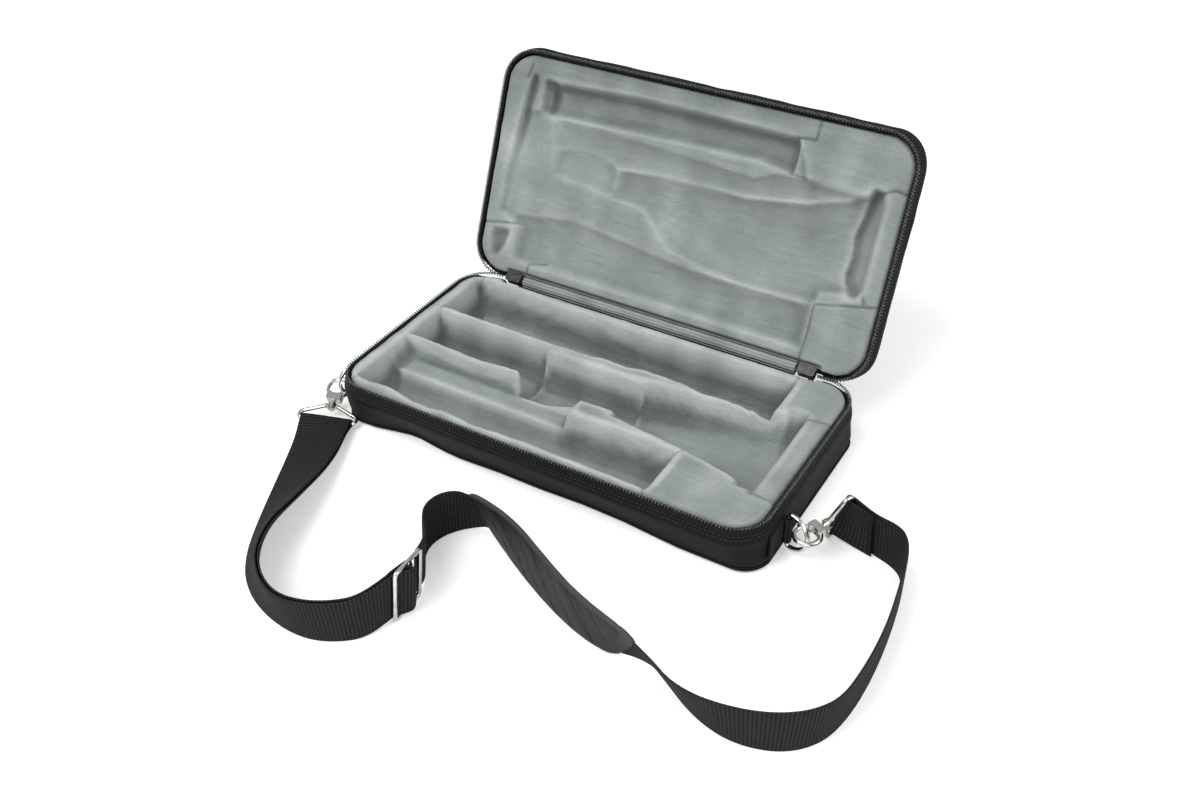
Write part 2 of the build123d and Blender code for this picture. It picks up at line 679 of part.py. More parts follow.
# ---------------------------------------------------------------- D-rings
def d_ring():
    """D-ring in its own frame: bar on Z, bow towards +X."""
    bar = RING_HALF_BAR - RING_CORNER
    centre_x = RING_CORNER
    edge = Line((0, 0, -bar), (0, 0, bar))
    upper = ThreePointArc(
        (0, 0, bar),
        (RING_CORNER * (1 - cos(radians(45))), 0, bar + RING_CORNER * sin(radians(45))),
        (centre_x, 0, RING_HALF_BAR),
    )
    bow = ThreePointArc(
        (centre_x, 0, RING_HALF_BAR),
        (centre_x + RING_HALF_BAR, 0, 0),
        (centre_x, 0, -RING_HALF_BAR),
    )
    lower = ThreePointArc(
        (centre_x, 0, -RING_HALF_BAR),
        (RING_CORNER * (1 - cos(radians(45))), 0, -bar - RING_CORNER * sin(radians(45))),
        (0, 0, -bar),
    )
    return tube_along(Wire([edge, upper, bow, lower]), WIRE)


def tab_loop():
    """Outer and inner radius of the sewn loop round a D-ring's bar."""
    inner = WIRE + TAB_CLEARANCE
    return inner, inner + TAB_THICKNESS


def tab(bar_x, bar_y, bar_z, wall_x, tail):
    """Sewn webbing tab: a loop round the D-ring's bar and a tail flat on the end wall."""
    inner, outer = tab_loop()
    half = (RING_HALF_BAR - RING_CORNER) - 0.6
    low, high = bar_z - half, bar_z + half
    side = 1 if wall_x > 0 else -1
    loop = rod((bar_x, bar_y, low), (bar_x, bar_y, high), outer)
    tail_x = sorted((wall_x, wall_x + side * TAB_THICKNESS))
    tail_y = sorted((bar_y, bar_y + tail))
    loop += block(tail_x, tail_y, (low, high))
    return loop - rod((bar_x, bar_y, low - 1), (bar_x, bar_y, high + 1), inner)


def ring_places():
    """Bar axis and turn of both D-rings: name, x, y, z, turn about the bar, tail direction."""
    _, outer = tab_loop()
    widest = max(step[1] for step in BASE_BULGE)
    stand_off = HALF_LENGTH + widest + 0.3 + outer
    return (
        ("right", stand_off, RIGHT_TAB_Y, RIGHT_TAB_Z, RIGHT_RING_TURN, -TAB_TAIL),
        ("left", -stand_off, LEFT_TAB_Y, LEFT_TAB_Z, LEFT_RING_TURN, TAB_TAIL),
    )


def make_rings():
    """D-rings with their tabs, sewn flat against the ends of the base."""
    widest = max(step[1] for step in BASE_BULGE) + 0.3
    for word, x, y, z, turn, tail in ring_places():
        side = 1 if x > 0 else -1
        save(f"d_ring_{word}", Pos(x, y, z) * Rot(0, 0, turn) * d_ring())
        save(f"d_ring_tab_{word}", tab(x, y, z, side * (HALF_LENGTH + widest), tail))


def bow_point(word, z):
    """Point on the bow's centre line at one height."""
    for name, x, y, ring_z, turn, _ in ring_places():
        if name == word:
            reach = RING_CORNER + sqrt(RING_HALF_BAR**2 - (z - ring_z) ** 2)
            return Vector(x + reach * cos(radians(turn)), y + reach * sin(radians(turn)), z)
    raise ValueError(word)


# ---------------------------------------------------------------- hooks and strap rings
def unit(values):
    """Vector of length one."""
    return Vector(*values).normalized()


def square_to(vector, axis):
    """Part of a vector square to an axis, at length one."""
    return (vector - axis * vector.dot(axis)).normalized()


def hook_plane(word):
    """Frame of one hook: X to its swivel, Z through its eye, origin at the eye's centre."""
    if word == "left":
        values, z, shift, up = LEFT_HOOK_AXIS, LEFT_HOOK_Z, LEFT_EYE_SHIFT, -1
    else:
        values, z, shift, up = RIGHT_HOOK_AXIS, RIGHT_HOOK_Z, RIGHT_EYE_SHIFT, 1
    along = unit(values)
    through = square_to(Vector(0, 0, up), along)
    across = through.cross(along)
    centre = bow_point(word, z) + along * EYE_SLACK + across * shift
    return Plane(origin=centre, x_dir=along, z_dir=through)


def bar_plane(word):
    """Frame of one strap ring: origin at its bar's middle, X away from the hook, Y on the bar."""
    hook = hook_plane(word)
    values = LEFT_BAR_AXIS if word == "left" else RIGHT_BAR_AXIS
    bar = square_to(Vector(*values), hook.x_dir)
    return Plane(
        origin=hook.origin + hook.x_dir * BAR_DISTANCE, x_dir=hook.x_dir, z_dir=hook.x_dir.cross(bar)
    )


def arc_wire(radius, first, last):
    """Arc about the origin between two angles."""
    return CenterArc((0, 0), radius, first, last - first)


def gate_reach():
    """Distance from the gate's pin to the far corner of its tip."""
    tip = CLAW_RADIUS + GATE_WIRE
    across = tip * cos(radians(GATE_END)) - GATE_PIVOT[0]
    up = tip * sin(radians(GATE_END)) - GATE_PIVOT[1]
    return sqrt(across**2 + up**2)


def hook_body():
    """Claw, body and swivel pin of a hook, in its own frame."""
    (low_x, high_x), (low_y, high_y), thick = HOOK_BODY
    claw = tube_along(arc_wire(CLAW_RADIUS, CLAW_START, CLAW_END), CLAW_WIRE)
    body = block((low_x, high_x), (low_y, high_y), (-thick / 2, thick / 2))
    body = fillet(body.edges().filter_by(Axis.Z), 1.5)
    body -= rod((0, 0, -FAR), (0, 0, FAR), CLAW_RADIUS - CLAW_WIRE + 0.2)
    pivot_x, pivot_y = GATE_PIVOT
    nose = rod((pivot_x, pivot_y, -FAR), (pivot_x, pivot_y, FAR), gate_reach() + NOSE_GAP)
    claw -= nose & block((-FAR, 0), (0, FAR), (-FAR, FAR))
    room = GATE_ROOT + 0.3
    slot = (-GATE_WIDTH / 2 - 0.2, GATE_WIDTH / 2 + 0.2)
    body -= block((0, pivot_x + room), (pivot_y - room - 0.2, FAR), slot)
    head_start = COLLAR_START + COLLAR_LENGTH + 0.2
    pin = rod((high_x - 1, 0, 0), (head_start + 0.1, 0, 0), SWIVEL_PIN)
    head = rod((head_start, 0, 0), (head_start + HEAD_LENGTH, 0, 0), SWIVEL_HEAD)
    gate_pin = rod((pivot_x, pivot_y, -thick / 2), (pivot_x, pivot_y, thick / 2), GATE_PIN)
    return claw + body + pin + head + gate_pin


def hook_gate():
    """Sprung gate of a hook, in the hook's frame."""
    pivot_x, pivot_y = GATE_PIVOT
    half = GATE_WIDTH / 2
    start = degrees(asin(pivot_y / CLAW_RADIUS))
    root = rod((pivot_x, pivot_y, -half), (pivot_x, pivot_y, half), GATE_ROOT)
    bow = tube_along(arc_wire(CLAW_RADIUS, start, GATE_END), GATE_WIRE)
    nub_angle = radians((start + GATE_END) / 2)
    nub_at = (cos(nub_angle) * CLAW_RADIUS, sin(nub_angle) * CLAW_RADIUS)
    nub_end = (cos(nub_angle) * (CLAW_RADIUS + 3), sin(nub_angle) * (CLAW_RADIUS + 3))
    nub = rod((*nub_at, 0), (*nub_end, 0), 1.0)
    hole = rod((pivot_x, pivot_y, -FAR), (pivot_x, pivot_y, FAR), GATE_PIN + HOOK_FIT)
    return root + bow + nub - hole


def strap_ring():
    """Three-sided ring with its swivel collar, in the bar's frame."""
    half_bar = STRAP_WIDTH / 2 + WIRE + RING_GAP
    collar_x = COLLAR_START - BAR_DISTANCE
    arm_x = collar_x + COLLAR_LENGTH / 2
    arm_y = COLLAR_RADIUS + RING_GAP
    path = FilletPolyline(
        (arm_x, arm_y, 0),
        (-RING_SIDE, half_bar, 0),
        (0, half_bar, 0),
        (0, -half_bar, 0),
        (-RING_SIDE, -half_bar, 0),
        (arm_x, -arm_y, 0),
        radius=[RING_SHOULDER, RING_BEND, RING_BEND, RING_SHOULDER],
    )
    ring = tube_along(path, WIRE)
    collar = rod((collar_x, 0, 0), (collar_x + COLLAR_LENGTH, 0, 0), COLLAR_RADIUS)
    bore = rod((collar_x - 1, 0, 0), (collar_x + COLLAR_LENGTH + 1, 0, 0), SWIVEL_PIN + HOOK_FIT)
    shoulder = Pos(arm_x, 0, 0) * Box(COLLAR_LENGTH, 2 * arm_y + WIRE, 2 * WIRE)
    return ring + collar + shoulder - bore


def make_hooks():
    """Hooks, their gates and the strap rings at both ends of the strap."""
    for word in ("left", "right"):
        place = hook_plane(word)
        save(f"hook_{word}", place * hook_body())
        save(f"hook_gate_{word}", place * hook_gate())
        save(f"strap_ring_{word}", bar_plane(word) * strap_ring())


# ---------------------------------------------------------------- strap
class Station:
    """One cross-section of the webbing: middle, width direction and outward normal."""

    def __init__(self, middle, width, outward):
        self.middle = middle
        self.width = width
        self.outward = outward

    def corners(self, width, thickness):
        """Four corners of the webbing at this station."""
        across, out = self.width * (width / 2), self.outward * (thickness / 2)
        offsets = (out - across, out + across, across - out, across * -1 - out)
        return [self.middle + offset for offset in offsets]

    def moved(self, offset):
        """The same station pushed along its normal."""
        return Station(self.middle + self.outward * offset, self.width, self.outward)

    def turned(self):
        """The same station with its other face outwards."""
        return Station(self.middle, self.width, self.outward * -1)


def band(stations, width, thickness):
    """Solid flat band through the stations, with straight ruled faces between them."""
    rings = [station.corners(width, thickness) for station in stations]
    faces = [Face(Wire.make_polygon(rings[0])), Face(Wire.make_polygon(rings[-1]))]
    for near, far in zip(rings, rings[1:]):
        for first, second in ((0, 1), (1, 2), (2, 3), (3, 0)):
            start = Edge.make_line(near[first], near[second])
            end = Edge.make_line(far[first], far[second])
            faces.append(Face.make_surface_from_curves(start, end))
    return Solid(Shell(faces))


def route_station(point, heading, lean, width, lift):
    """Station whose lower edge stands at a point of the floor."""
    left = Vector(-heading.Y, heading.X, 0)
    across = left * sin(radians(lean)) + Vector(0, 0, cos(radians(lean)))
    edge = Vector(point[0], point[1], lift)
    return Station(edge + across * (width / 2), across, heading.cross(across).normalized())


def route_heading(points, index):
    """Level direction of the route at one of its points."""
    before = points[max(index - 1, 0)]
    after = points[min(index + 1, len(points) - 1)]
    return Vector(after[0] - before[0], after[1] - before[1], 0).normalized()


def lift_at(lean, doubled):
    """Height of the lower edge that keeps every layer off the floor."""
    tilt = abs(sin(radians(lean)))
    under = RETURN_OFFSET * tilt if doubled and lean > 0 else 0.0
    return FLOOR_GAP + STRAP_THICKNESS / 2 * tilt + under


def buckle_plane():
    """Frame of the slide buckle: X along the strap, Y across it, Z to its outer face."""
    heading = unit((*BUCKLE_HEADING, 0))
    lift = lift_at(BUCKLE_LEAN, True) + (BUCKLE_SIZE[0] - STRAP_WIDTH) / 2
    place = route_station(BUCKLE_CENTRE, heading, BUCKLE_LEAN, STRAP_WIDTH, lift)
    return Plane(origin=place.middle, x_dir=heading, z_dir=place.outward)


def local_station(plane, along, out, turn=90.0):
    """Station in a plane's frame, its outward normal turned from the plane's X towards its Z."""
    outward = plane.x_dir * cos(radians(turn)) + plane.z_dir * sin(radians(turn))
    middle = plane.origin + plane.x_dir * along + plane.z_dir * out
    return Station(middle, plane.y_dir, outward)


def wrap_plane(word, heading):
    """Frame at a strap ring's bar: X along the strap, Z to its outer face."""
    bar = bar_plane(word)
    along = square_to(heading, bar.y_dir)
    width = bar.y_dir if along.cross(bar.y_dir).dot(Vector(0, 0, 1)) > -0.9 else bar.y_dir * -1
    return Plane(origin=bar.origin, x_dir=along, z_dir=along.cross(width))


def wrap(plane, first, last):
    """Stations of the webbing round a bar, by the angle of its outward normal."""
    radius = WIRE + STRAP_WRAP + STRAP_THICKNESS / 2
    stations = []
    for angle in steps(first, last, 30):
        along, out = radius * cos(radians(angle)), radius * sin(radians(angle))
        stations.append(local_station(plane, along, out, angle))
    return stations


def route_stations(points, doubled, width=STRAP_WIDTH, raised=0.0):
    """Stations of a stretch, leaving out the first and last point, which only give headings."""
    found = []
    for index in range(1, len(points) - 1):
        x, y, lean = points[index]
        lift = lift_at(lean, doubled) + raised
        found.append(route_station((x, y), route_heading(points, index), lean, width, lift))
    return found


def strap_parts():
    """Every station of the webbing, in the order in which it is threaded."""
    left = wrap_plane("left", unit((*LEFT_HOOK_AXIS[:2], -0.1)))
    right = wrap_plane("right", Vector(-1, 0.02, 0))
    buckle = buckle_plane()
    start = left.origin - left.y_dir * (STRAP_WIDTH / 2)
    end = right.origin - right.y_dir * (STRAP_WIDTH / 2)
    near = [(buckle.origin + buckle.x_dir * s - buckle.y_dir * 19) for s in (-26, 26)]
    before = [(start.X, start.Y, 85), *ROUTE_TO_BUCKLE, (near[0].X, near[0].Y, BUCKLE_LEAN)]
    to_buckle = route_stations(before, True)
    pad_rise = (PAD_WIDTH - STRAP_WIDTH) / 2 + 0.2
    all_after = (
        (near[1].X, near[1].Y, BUCKLE_LEAN),
        *ROUTE_TO_PAD,
        *ROUTE_IN_PAD,
        *ROUTE_TO_RING,
        (end.X, end.Y, 15),
    )
    after = route_stations(all_after, False)
    pad_first = len(ROUTE_TO_PAD)
    pad_last = pad_first + len(ROUTE_IN_PAD)
    for index in range(pad_first, pad_last):
        after[index] = Station(
            after[index].middle + Vector(0, 0, pad_rise), after[index].width, after[index].outward
        )
    return left, right, buckle, to_buckle, after, (pad_first, pad_last)


def make_strap():
    """Webbing, buckle and shoulder pad."""
    left, right, buckle, to_buckle, after, (pad_first, pad_last) = strap_parts()
    loop_radius = WIRE + STRAP_WRAP + STRAP_THICKNESS / 2
    under = -(BUCKLE_SIZE[2] / 2 + STRAP_WRAP + STRAP_THICKNESS / 2)
    over = loop_radius + STRAP_THICKNESS + STRAP_WRAP
    end_bar = BUCKLE_SIZE[1] / 2 - BUCKLE_END_BAR
    main_through = [(-BUCKLE_SIZE[1] / 2 - 1, under), (-end_bar, under), (-2.5, over), (2.5, over)]
    main_through += [(end_bar, under), (BUCKLE_SIZE[1] / 2 + 1, under)]
    tail_out = under - RETURN_OFFSET
    sewn = wrap(buckle, 180, -90)
    sewn.append(local_station(buckle, -4, -loop_radius - 0.7, -90))
    sewn.append(local_station(buckle, -end_bar, tail_out, -90))
    sewn.append(local_station(buckle, -BUCKLE_SIZE[1] / 2 - 1, tail_out, -90))
    back = [station.moved(-RETURN_OFFSET).turned() for station in reversed(to_buckle)]
    left_wrap = wrap(left, -90, -270)
    main = [local_station(buckle, along, out) for along, out in main_through]
    right_wrap = wrap(right, 90, -90)
    fold = [after[-1].moved(-RETURN_OFFSET).turned()]
    chain = sewn + back + left_wrap + to_buckle + main + after + right_wrap + fold
    save("strap_webbing", band(chain, STRAP_WIDTH, STRAP_THICKNESS))
    length = sum((b.middle - a.middle).length for a, b in zip(chain, chain[1:]))
    print(f"strap centre line {length:.0f} mm, {len(chain)} stations")
    save("strap_buckle", buckle * slide_buckle())
    inside = after[pad_first:pad_last]
    around = after[pad_first - 1 : pad_last + 1]
    outer = band(inside, PAD_WIDTH, PAD_THICKNESS)
    channel = band(around, STRAP_WIDTH + 2 * PAD_GAP, STRAP_THICKNESS + 2 * PAD_GAP)
    save("shoulder_pad", outer - channel)


def slide_buckle():
    """Three-bar slide in its own frame: X along the strap, Y across it."""
    width, length, thick = BUCKLE_SIZE
    frame = extrude(RectangleRounded(length, width, BUCKLE_CORNER), thick / 2, both=True)
    window_x = length / 2 - BUCKLE_END_BAR
    window_y = width / 2 - BUCKLE_RAIL
    frame -= block((-window_x, window_x), (-window_y, window_y), (-thick, thick))
    return frame + rod((0, -window_y - 1, 0), (0, window_y + 1, 0), min(WIRE, thick / 2 + 0.3))


def main():
    """Build every node."""
    make_base_walls()
    make_base_lining()
    make_hinge()
    make_lid_walls()
    make_lid_lining()
    make_sliders()
    make_rings()
    make_hooks()
    make_strap()


main()
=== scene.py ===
"""Soft zip-round clarinet case, standing open with its shoulder strap.

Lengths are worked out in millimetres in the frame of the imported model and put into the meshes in
metres. Every surface is a function of two parameters on a grid, computed as whole arrays.
"""

from __future__ import annotations

import json
import logging
import math
from dataclasses import dataclass
from enum import Enum
from typing import Callable, Sequence

import bpy
import numpy as np
from mathutils import Matrix, Vector

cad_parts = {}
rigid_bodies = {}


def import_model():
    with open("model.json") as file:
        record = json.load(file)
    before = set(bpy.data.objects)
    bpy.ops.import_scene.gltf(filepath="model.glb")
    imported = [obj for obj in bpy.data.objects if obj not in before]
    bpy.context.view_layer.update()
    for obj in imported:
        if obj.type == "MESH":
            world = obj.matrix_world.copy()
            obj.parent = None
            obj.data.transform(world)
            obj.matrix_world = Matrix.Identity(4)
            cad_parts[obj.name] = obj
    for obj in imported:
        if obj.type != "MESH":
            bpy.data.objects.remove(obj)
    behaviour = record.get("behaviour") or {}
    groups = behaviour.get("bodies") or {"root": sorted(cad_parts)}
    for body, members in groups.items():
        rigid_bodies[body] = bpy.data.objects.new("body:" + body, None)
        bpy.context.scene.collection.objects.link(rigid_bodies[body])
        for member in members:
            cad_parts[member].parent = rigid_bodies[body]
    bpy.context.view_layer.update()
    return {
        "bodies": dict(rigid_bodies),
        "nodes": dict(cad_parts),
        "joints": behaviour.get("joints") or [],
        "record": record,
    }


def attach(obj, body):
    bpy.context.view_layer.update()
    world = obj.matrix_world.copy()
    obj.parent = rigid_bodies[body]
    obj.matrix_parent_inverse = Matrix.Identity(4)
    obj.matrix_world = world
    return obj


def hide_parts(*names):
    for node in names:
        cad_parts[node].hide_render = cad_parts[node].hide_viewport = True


LOG = logging.getLogger("case")
MM = 0.001
Array = np.ndarray
Pairs = Sequence[tuple[float, float]]
Triple = tuple[float, float, float]
Socket = bpy.types.NodeSocket
Piece = bpy.types.Object


class Half(Enum):
    """The two halves of the case."""

    BASE = "base"
    LID = "lid"

    @property
    def away(self) -> float:
        """Direction along Z from the rim to the outside, with the lid shut."""
        return -1.0 if self is Half.BASE else 1.0

    @property
    def rim(self) -> float:
        """Height of the rim, with the lid shut."""
        return 40.0 if self is Half.BASE else 41.0

    def rested(self, points: Array) -> Array:
        """Points of the shut case moved to where this half rests."""
        return points if self is Half.BASE else turned_lid(points)

    def rested_direction(self, directions: Array) -> Array:
        """Directions of the shut case turned as this half rests."""
        axis = [0, Hinge.y, Hinge.z]
        return directions if self is Half.BASE else turned_lid(directions + axis) - axis

    def off_hinge(self, y: Array, z: Array, clear: Array) -> Array:
        """Heights kept out of the clear cylinder, whose half-height over each point is given.

        Args:
            y: Place across the case of each point.
            z: Height of each point.
            clear: Half-height of the clear cylinder over each point.

        Returns:
            Heights outside the cylinder.
        """
        bound = Hinge.z + self.away * clear
        moved = np.minimum(z, bound) if self is Half.BASE else np.maximum(z, bound)
        return np.where((y > Hinge.behind) & (clear > 0), moved, z)


class Coordinates(Enum):
    """What a finish's pattern follows."""

    OBJECT = "Object"
    UV = "UV"


# ---------------------------------------------------------------- shapes
def smooth(value: Array) -> Array:
    """Smooth step: 0 below 0, 1 above 1, three t squared minus two t cubed between."""
    t = np.clip(value, 0.0, 1.0)
    return t * t * (3.0 - 2.0 * t)


def window(value: Array, low: float, high: float, soft: float) -> Array:
    """One between low and high, falling smoothly to nought over soft on both sides."""
    return smooth((value - low + soft) / soft) * smooth((high + soft - value) / soft)


def ripple(u: Array, v: Array, size: float, seed: int, waves: int = 7) -> Array:
    """Smooth irregular relief of about unit height.

    Formula: the mean of plane waves whose directions, lengths and phases are drawn once from a
    seeded generator.

    Args:
        u: First coordinate.
        v: Second coordinate.
        size: Usual distance between crests.
        seed: Seed of the generator.
        waves: Number of waves.

    Returns:
        Relief at every point.
    """
    rng = np.random.default_rng(seed)
    total = np.zeros(np.broadcast(u, v).shape)
    for angle, stretch, phase in rng.uniform((0, 0.6, 0), (math.pi, 1.7, 2 * math.pi), (waves, 3)):
        along = u * math.cos(angle) + v * math.sin(angle)
        total = total + np.sin(2 * math.pi * along / (size * stretch) + phase)
    return total / math.sqrt(waves)


def blur(values: Array, reach: int) -> Array:
    """Box average over a grid, applied along both directions, edges repeated.

    Args:
        values: Grid of values.
        reach: Steps averaged on each side.

    Returns:
        The averaged grid.
    """
    kernel = np.ones(2 * reach + 1) / (2 * reach + 1)
    result = values
    for axis in (0, 1):
        pad = [(reach, reach) if a == axis else (0, 0) for a in (0, 1)]
        wide = np.pad(result, pad, mode="edge")
        result = np.apply_along_axis(lambda row: np.convolve(row, kernel, "valid"), axis, wide)
    return result


def unit(vectors: Array) -> Array:
    """Vectors scaled to a length of one."""
    return vectors / np.linalg.norm(vectors, axis=-1, keepdims=True)


def run_length(path: Array) -> Array:
    """Length along a path from its first point to each point."""
    return np.concatenate([[0.0], np.cumsum(np.linalg.norm(np.diff(path, axis=0), axis=1))])


def looped(rows: Array) -> Array:
    """Rows with the first one repeated at the end."""
    return np.concatenate([rows, rows[:1]])


def sampled(places: Array, length: Array, rows: Array) -> Array:
    """Rows of a table read at places along its length."""
    return np.stack([np.interp(places, length, column) for column in rows.T], -1)


def ranged(x: Array, table: Pairs) -> Array:
    """Value of a line of (x, value) pairs at each x."""
    return np.interp(x, *np.array(table).T)


def quarter_round(reach: Array, radius: float) -> Array:
    """Drop of a quarter circle: nought at reach 0, the whole radius at reach radius."""
    return radius - np.sqrt(np.maximum(radius**2 - np.clip(reach, 0, radius) ** 2, 0.0))


def line_distance(points: Pairs, x: Array, y: Array) -> Array:
    """Least distance from every grid point to a chain of straight segments.

    Args:
        points: Corners of the chain.
        x: First coordinate of each grid point.
        y: Second coordinate of each grid point.

    Returns:
        Distance at every grid point.
    """
    best = np.full(x.shape, 1e9)
    for (ax, ay), (bx, by) in zip(points, points[1:]):
        dx, dy = bx - ax, by - ay
        share = np.clip(((x - ax) * dx + (y - ay) * dy) / (dx * dx + dy * dy), 0, 1)
        best = np.minimum(best, np.hypot(x - ax - share * dx, y - ay - share * dy))
    return best


def polygon_depth(points: Pairs, x: Array, y: Array) -> Array:
    """Distance inside a closed outline, negative outside, by counting crossings of a level ray.

    Args:
        points: Corners of the outline.
        x: First coordinate of each grid point.
        y: Second coordinate of each grid point.

    Returns:
        Distance at every grid point.
    """
    closed = [*points, points[0]]
    inside = np.zeros(x.shape, bool)
    for (ax, ay), (bx, by) in zip(closed, closed[1:]):
        if ay == by:
            continue
        crosses = ((ay > y) != (by > y)) & (x < (bx - ax) * (y - ay) / (by - ay) + ax)
        inside ^= crosses
    distance = line_distance(closed, x, y)
    return np.where(inside, distance, -distance)


def turned_lid(points: Array) -> Array:
    """Points of the shut lid turned back about the hinge line to where the lid rests.

    Formula: a plain rotation about X through the hinge line by the open angle.

    Args:
        points: Points of the shut lid, with x, y and z on the last axis.

    Returns:
        The same points where the lid rests.
    """
    angle = math.radians(-Hinge.open_angle)
    y, z = points[..., 1] - Hinge.y, points[..., 2] - Hinge.z
    turned = points.copy()
    turned[..., 1] = Hinge.y + y * math.cos(angle) - z * math.sin(angle)
    turned[..., 2] = Hinge.z + y * math.sin(angle) + z * math.cos(angle)
    return turned


@dataclass(frozen=True)
class Hinge:
    """Line on which the lid turns, and the room that both halves leave round it."""

    y: float = 85.0
    z: float = 42.0
    open_angle: float = 113.0
    behind: float = 60.0
    room: float = 6.3
    notch: float = 12.1
    slider: float = 123.0
    notch_half: float = 9.2
    reach_end: float = 156.0

    @classmethod
    def reach(cls, x: Array) -> Array:
        """Radius kept clear at each x: wider round the two zip sliders."""
        wide = smooth((cls.notch_half - np.abs(np.abs(x) - cls.slider)) / 1.0 + 1.0)
        return np.where(np.abs(x) < cls.reach_end, cls.room + (cls.notch - cls.room) * wide, 0.0)

    @classmethod
    def limit(cls, x: Array, y: Array, radius: Array | float) -> Array:
        """Half-height of the clear cylinder over each point, nought outside it."""
        return np.sqrt(np.maximum(np.square(radius) - np.square(y - cls.y), 0.0))


# ---------------------------------------------------------------- meshes
def grid_object(
    name: str,
    grid: Array,
    close_u: bool = False,
    close_v: bool = False,
    flip: bool = False,
    uv: tuple[Array, Array] | None = None,
    keep: Array | None = None,
    tone: Array | None = None,
) -> Piece:
    """Mesh object from a grid of points.

    Args:
        name: Name of the piece.
        grid: Points in millimetres, shape (rows, columns, 3).
        close_u: Joins the last row to the first.
        close_v: Joins the last column to the first.
        flip: Turns the faces the other way.
        uv: Values of the pattern's two coordinates, one more than the faces each way.
        keep: True for each face that stays, shape (row faces, column faces).
        tone: Shade of the pile at each point, kept as an attribute.

    Returns:
        The new object, at the origin.
    """
    rows, columns = grid.shape[:2]
    face_rows, face_columns = rows - (not close_u), columns - (not close_v)
    i, j = np.meshgrid(np.arange(face_rows), np.arange(face_columns), indexing="ij")
    corners = ((i, j), (i + 1, j), (i + 1, j + 1), (i, j + 1))
    if flip:
        corners = corners[::-1]
    faces = np.stack([(a % rows) * columns + b % columns for a, b in corners], -1)
    mask = np.ones(i.shape, bool) if keep is None else keep
    chosen = faces[mask]
    used, compact = np.unique(chosen, return_inverse=True)
    mesh = bpy.data.meshes.new(name)
    points = grid.reshape(-1, 3)[used] * MM
    mesh.from_pydata(points.tolist(), [], compact.reshape(chosen.shape).tolist())
    if uv is not None:
        layer = mesh.uv_layers.new(name="UVMap")
        us = np.stack([uv[0][a] for a, _ in corners], -1)[mask]
        vs = np.stack([uv[1][b] for _, b in corners], -1)[mask]
        layer.data.foreach_set("uv", np.stack([us, vs], -1).astype(np.float32).ravel())
    if tone is not None:
        attribute = mesh.attributes.new("tone", "FLOAT", "POINT")
        attribute.data.foreach_set("value", tone.reshape(-1)[used].astype(np.float32))
    mesh.validate()
    return linked(mesh)


def linked(mesh: bpy.types.Mesh) -> Piece:
    """Smooth object of a mesh, under the mesh's name, in the scene at the origin.

    Args:
        mesh: Finished mesh.

    Returns:
        Its object.
    """
    mesh.polygons.foreach_set("use_smooth", np.ones(len(mesh.polygons), bool))
    mesh.update()
    piece = bpy.data.objects.new(mesh.name, mesh)
    bpy.context.scene.collection.objects.link(piece)
    return piece


def frames(path: Array, closed: bool, up: Array) -> tuple[Array, Array]:
    """Side and up directions along a path.

    Formula: the tangent is the difference of the two neighbours; side is tangent cross up, and
    the second direction is side cross tangent.

    Args:
        path: Points of the path, shape (n, 3).
        closed: Whether the last point joins the first.
        up: Rough up direction, one vector or one per point.

    Returns:
        Unit side and up directions, each (n, 3).
    """
    step = np.roll(path, -1, 0) - np.roll(path, 1, 0) if closed else np.gradient(path, axis=0)
    tangent = unit(step)
    side = unit(np.cross(tangent, np.broadcast_to(up, path.shape)))
    return side, np.cross(side, tangent)


def carried(profile: Array, line: Array, side: Array, rise: Array) -> Array:
    """Grid of a profile at every point of a line: line plus x on side plus y on rise."""
    x, y = profile[None, :, :1], profile[None, :, 1:]
    return line[:, None] + x * side[:, None] + y * rise[:, None]


def swept(path: Array, profile: Array, closed: bool, up: Array) -> Array:
    """Grid of a closed profile carried along a path, its x to the side and its y up."""
    return carried(profile, path, *frames(path, closed, up))


def round_profile(radius: float, count: int) -> Array:
    """Circle of count points."""
    angle = np.linspace(0, 2 * math.pi, count, endpoint=False)
    return np.stack([np.cos(angle), np.sin(angle)], -1) * radius


def flat_profile(width: float, thickness: float, count: int, power: float) -> Array:
    """Flattened section.

    Formula: the sine keeps its sign and is raised to two over the power, and the cosine to a
    power of its own, which spreads the points evenly along the width.

    Args:
        width: Full width, along x.
        thickness: Full thickness, along y.
        count: Number of points.
        power: Two gives an oval, and more gives flatter faces.

    Returns:
        Points of the section, shape (count, 2).
    """
    spread = 0.75
    angle = np.linspace(0, 2 * math.pi, count, endpoint=False)
    c, s = np.cos(angle), np.sin(angle)
    x = np.sign(c) * np.abs(c) ** spread * width / 2
    y = np.sign(s) * np.abs(s) ** (2 / power) * thickness / 2
    return np.stack([x, y], -1)


def capped(grid: Array) -> Array:
    """Grid with both ends drawn to a point, so that the shape is closed.

    Args:
        grid: Points of an open tube, shape (rows, columns, 3).

    Returns:
        Grid with two rows more.
    """
    first, last = grid[:1].mean(1, keepdims=True), grid[-1:].mean(1, keepdims=True)
    ends = [np.broadcast_to(end, grid[:1].shape) for end in (first, last)]
    return np.concatenate([ends[0], grid, ends[1]])


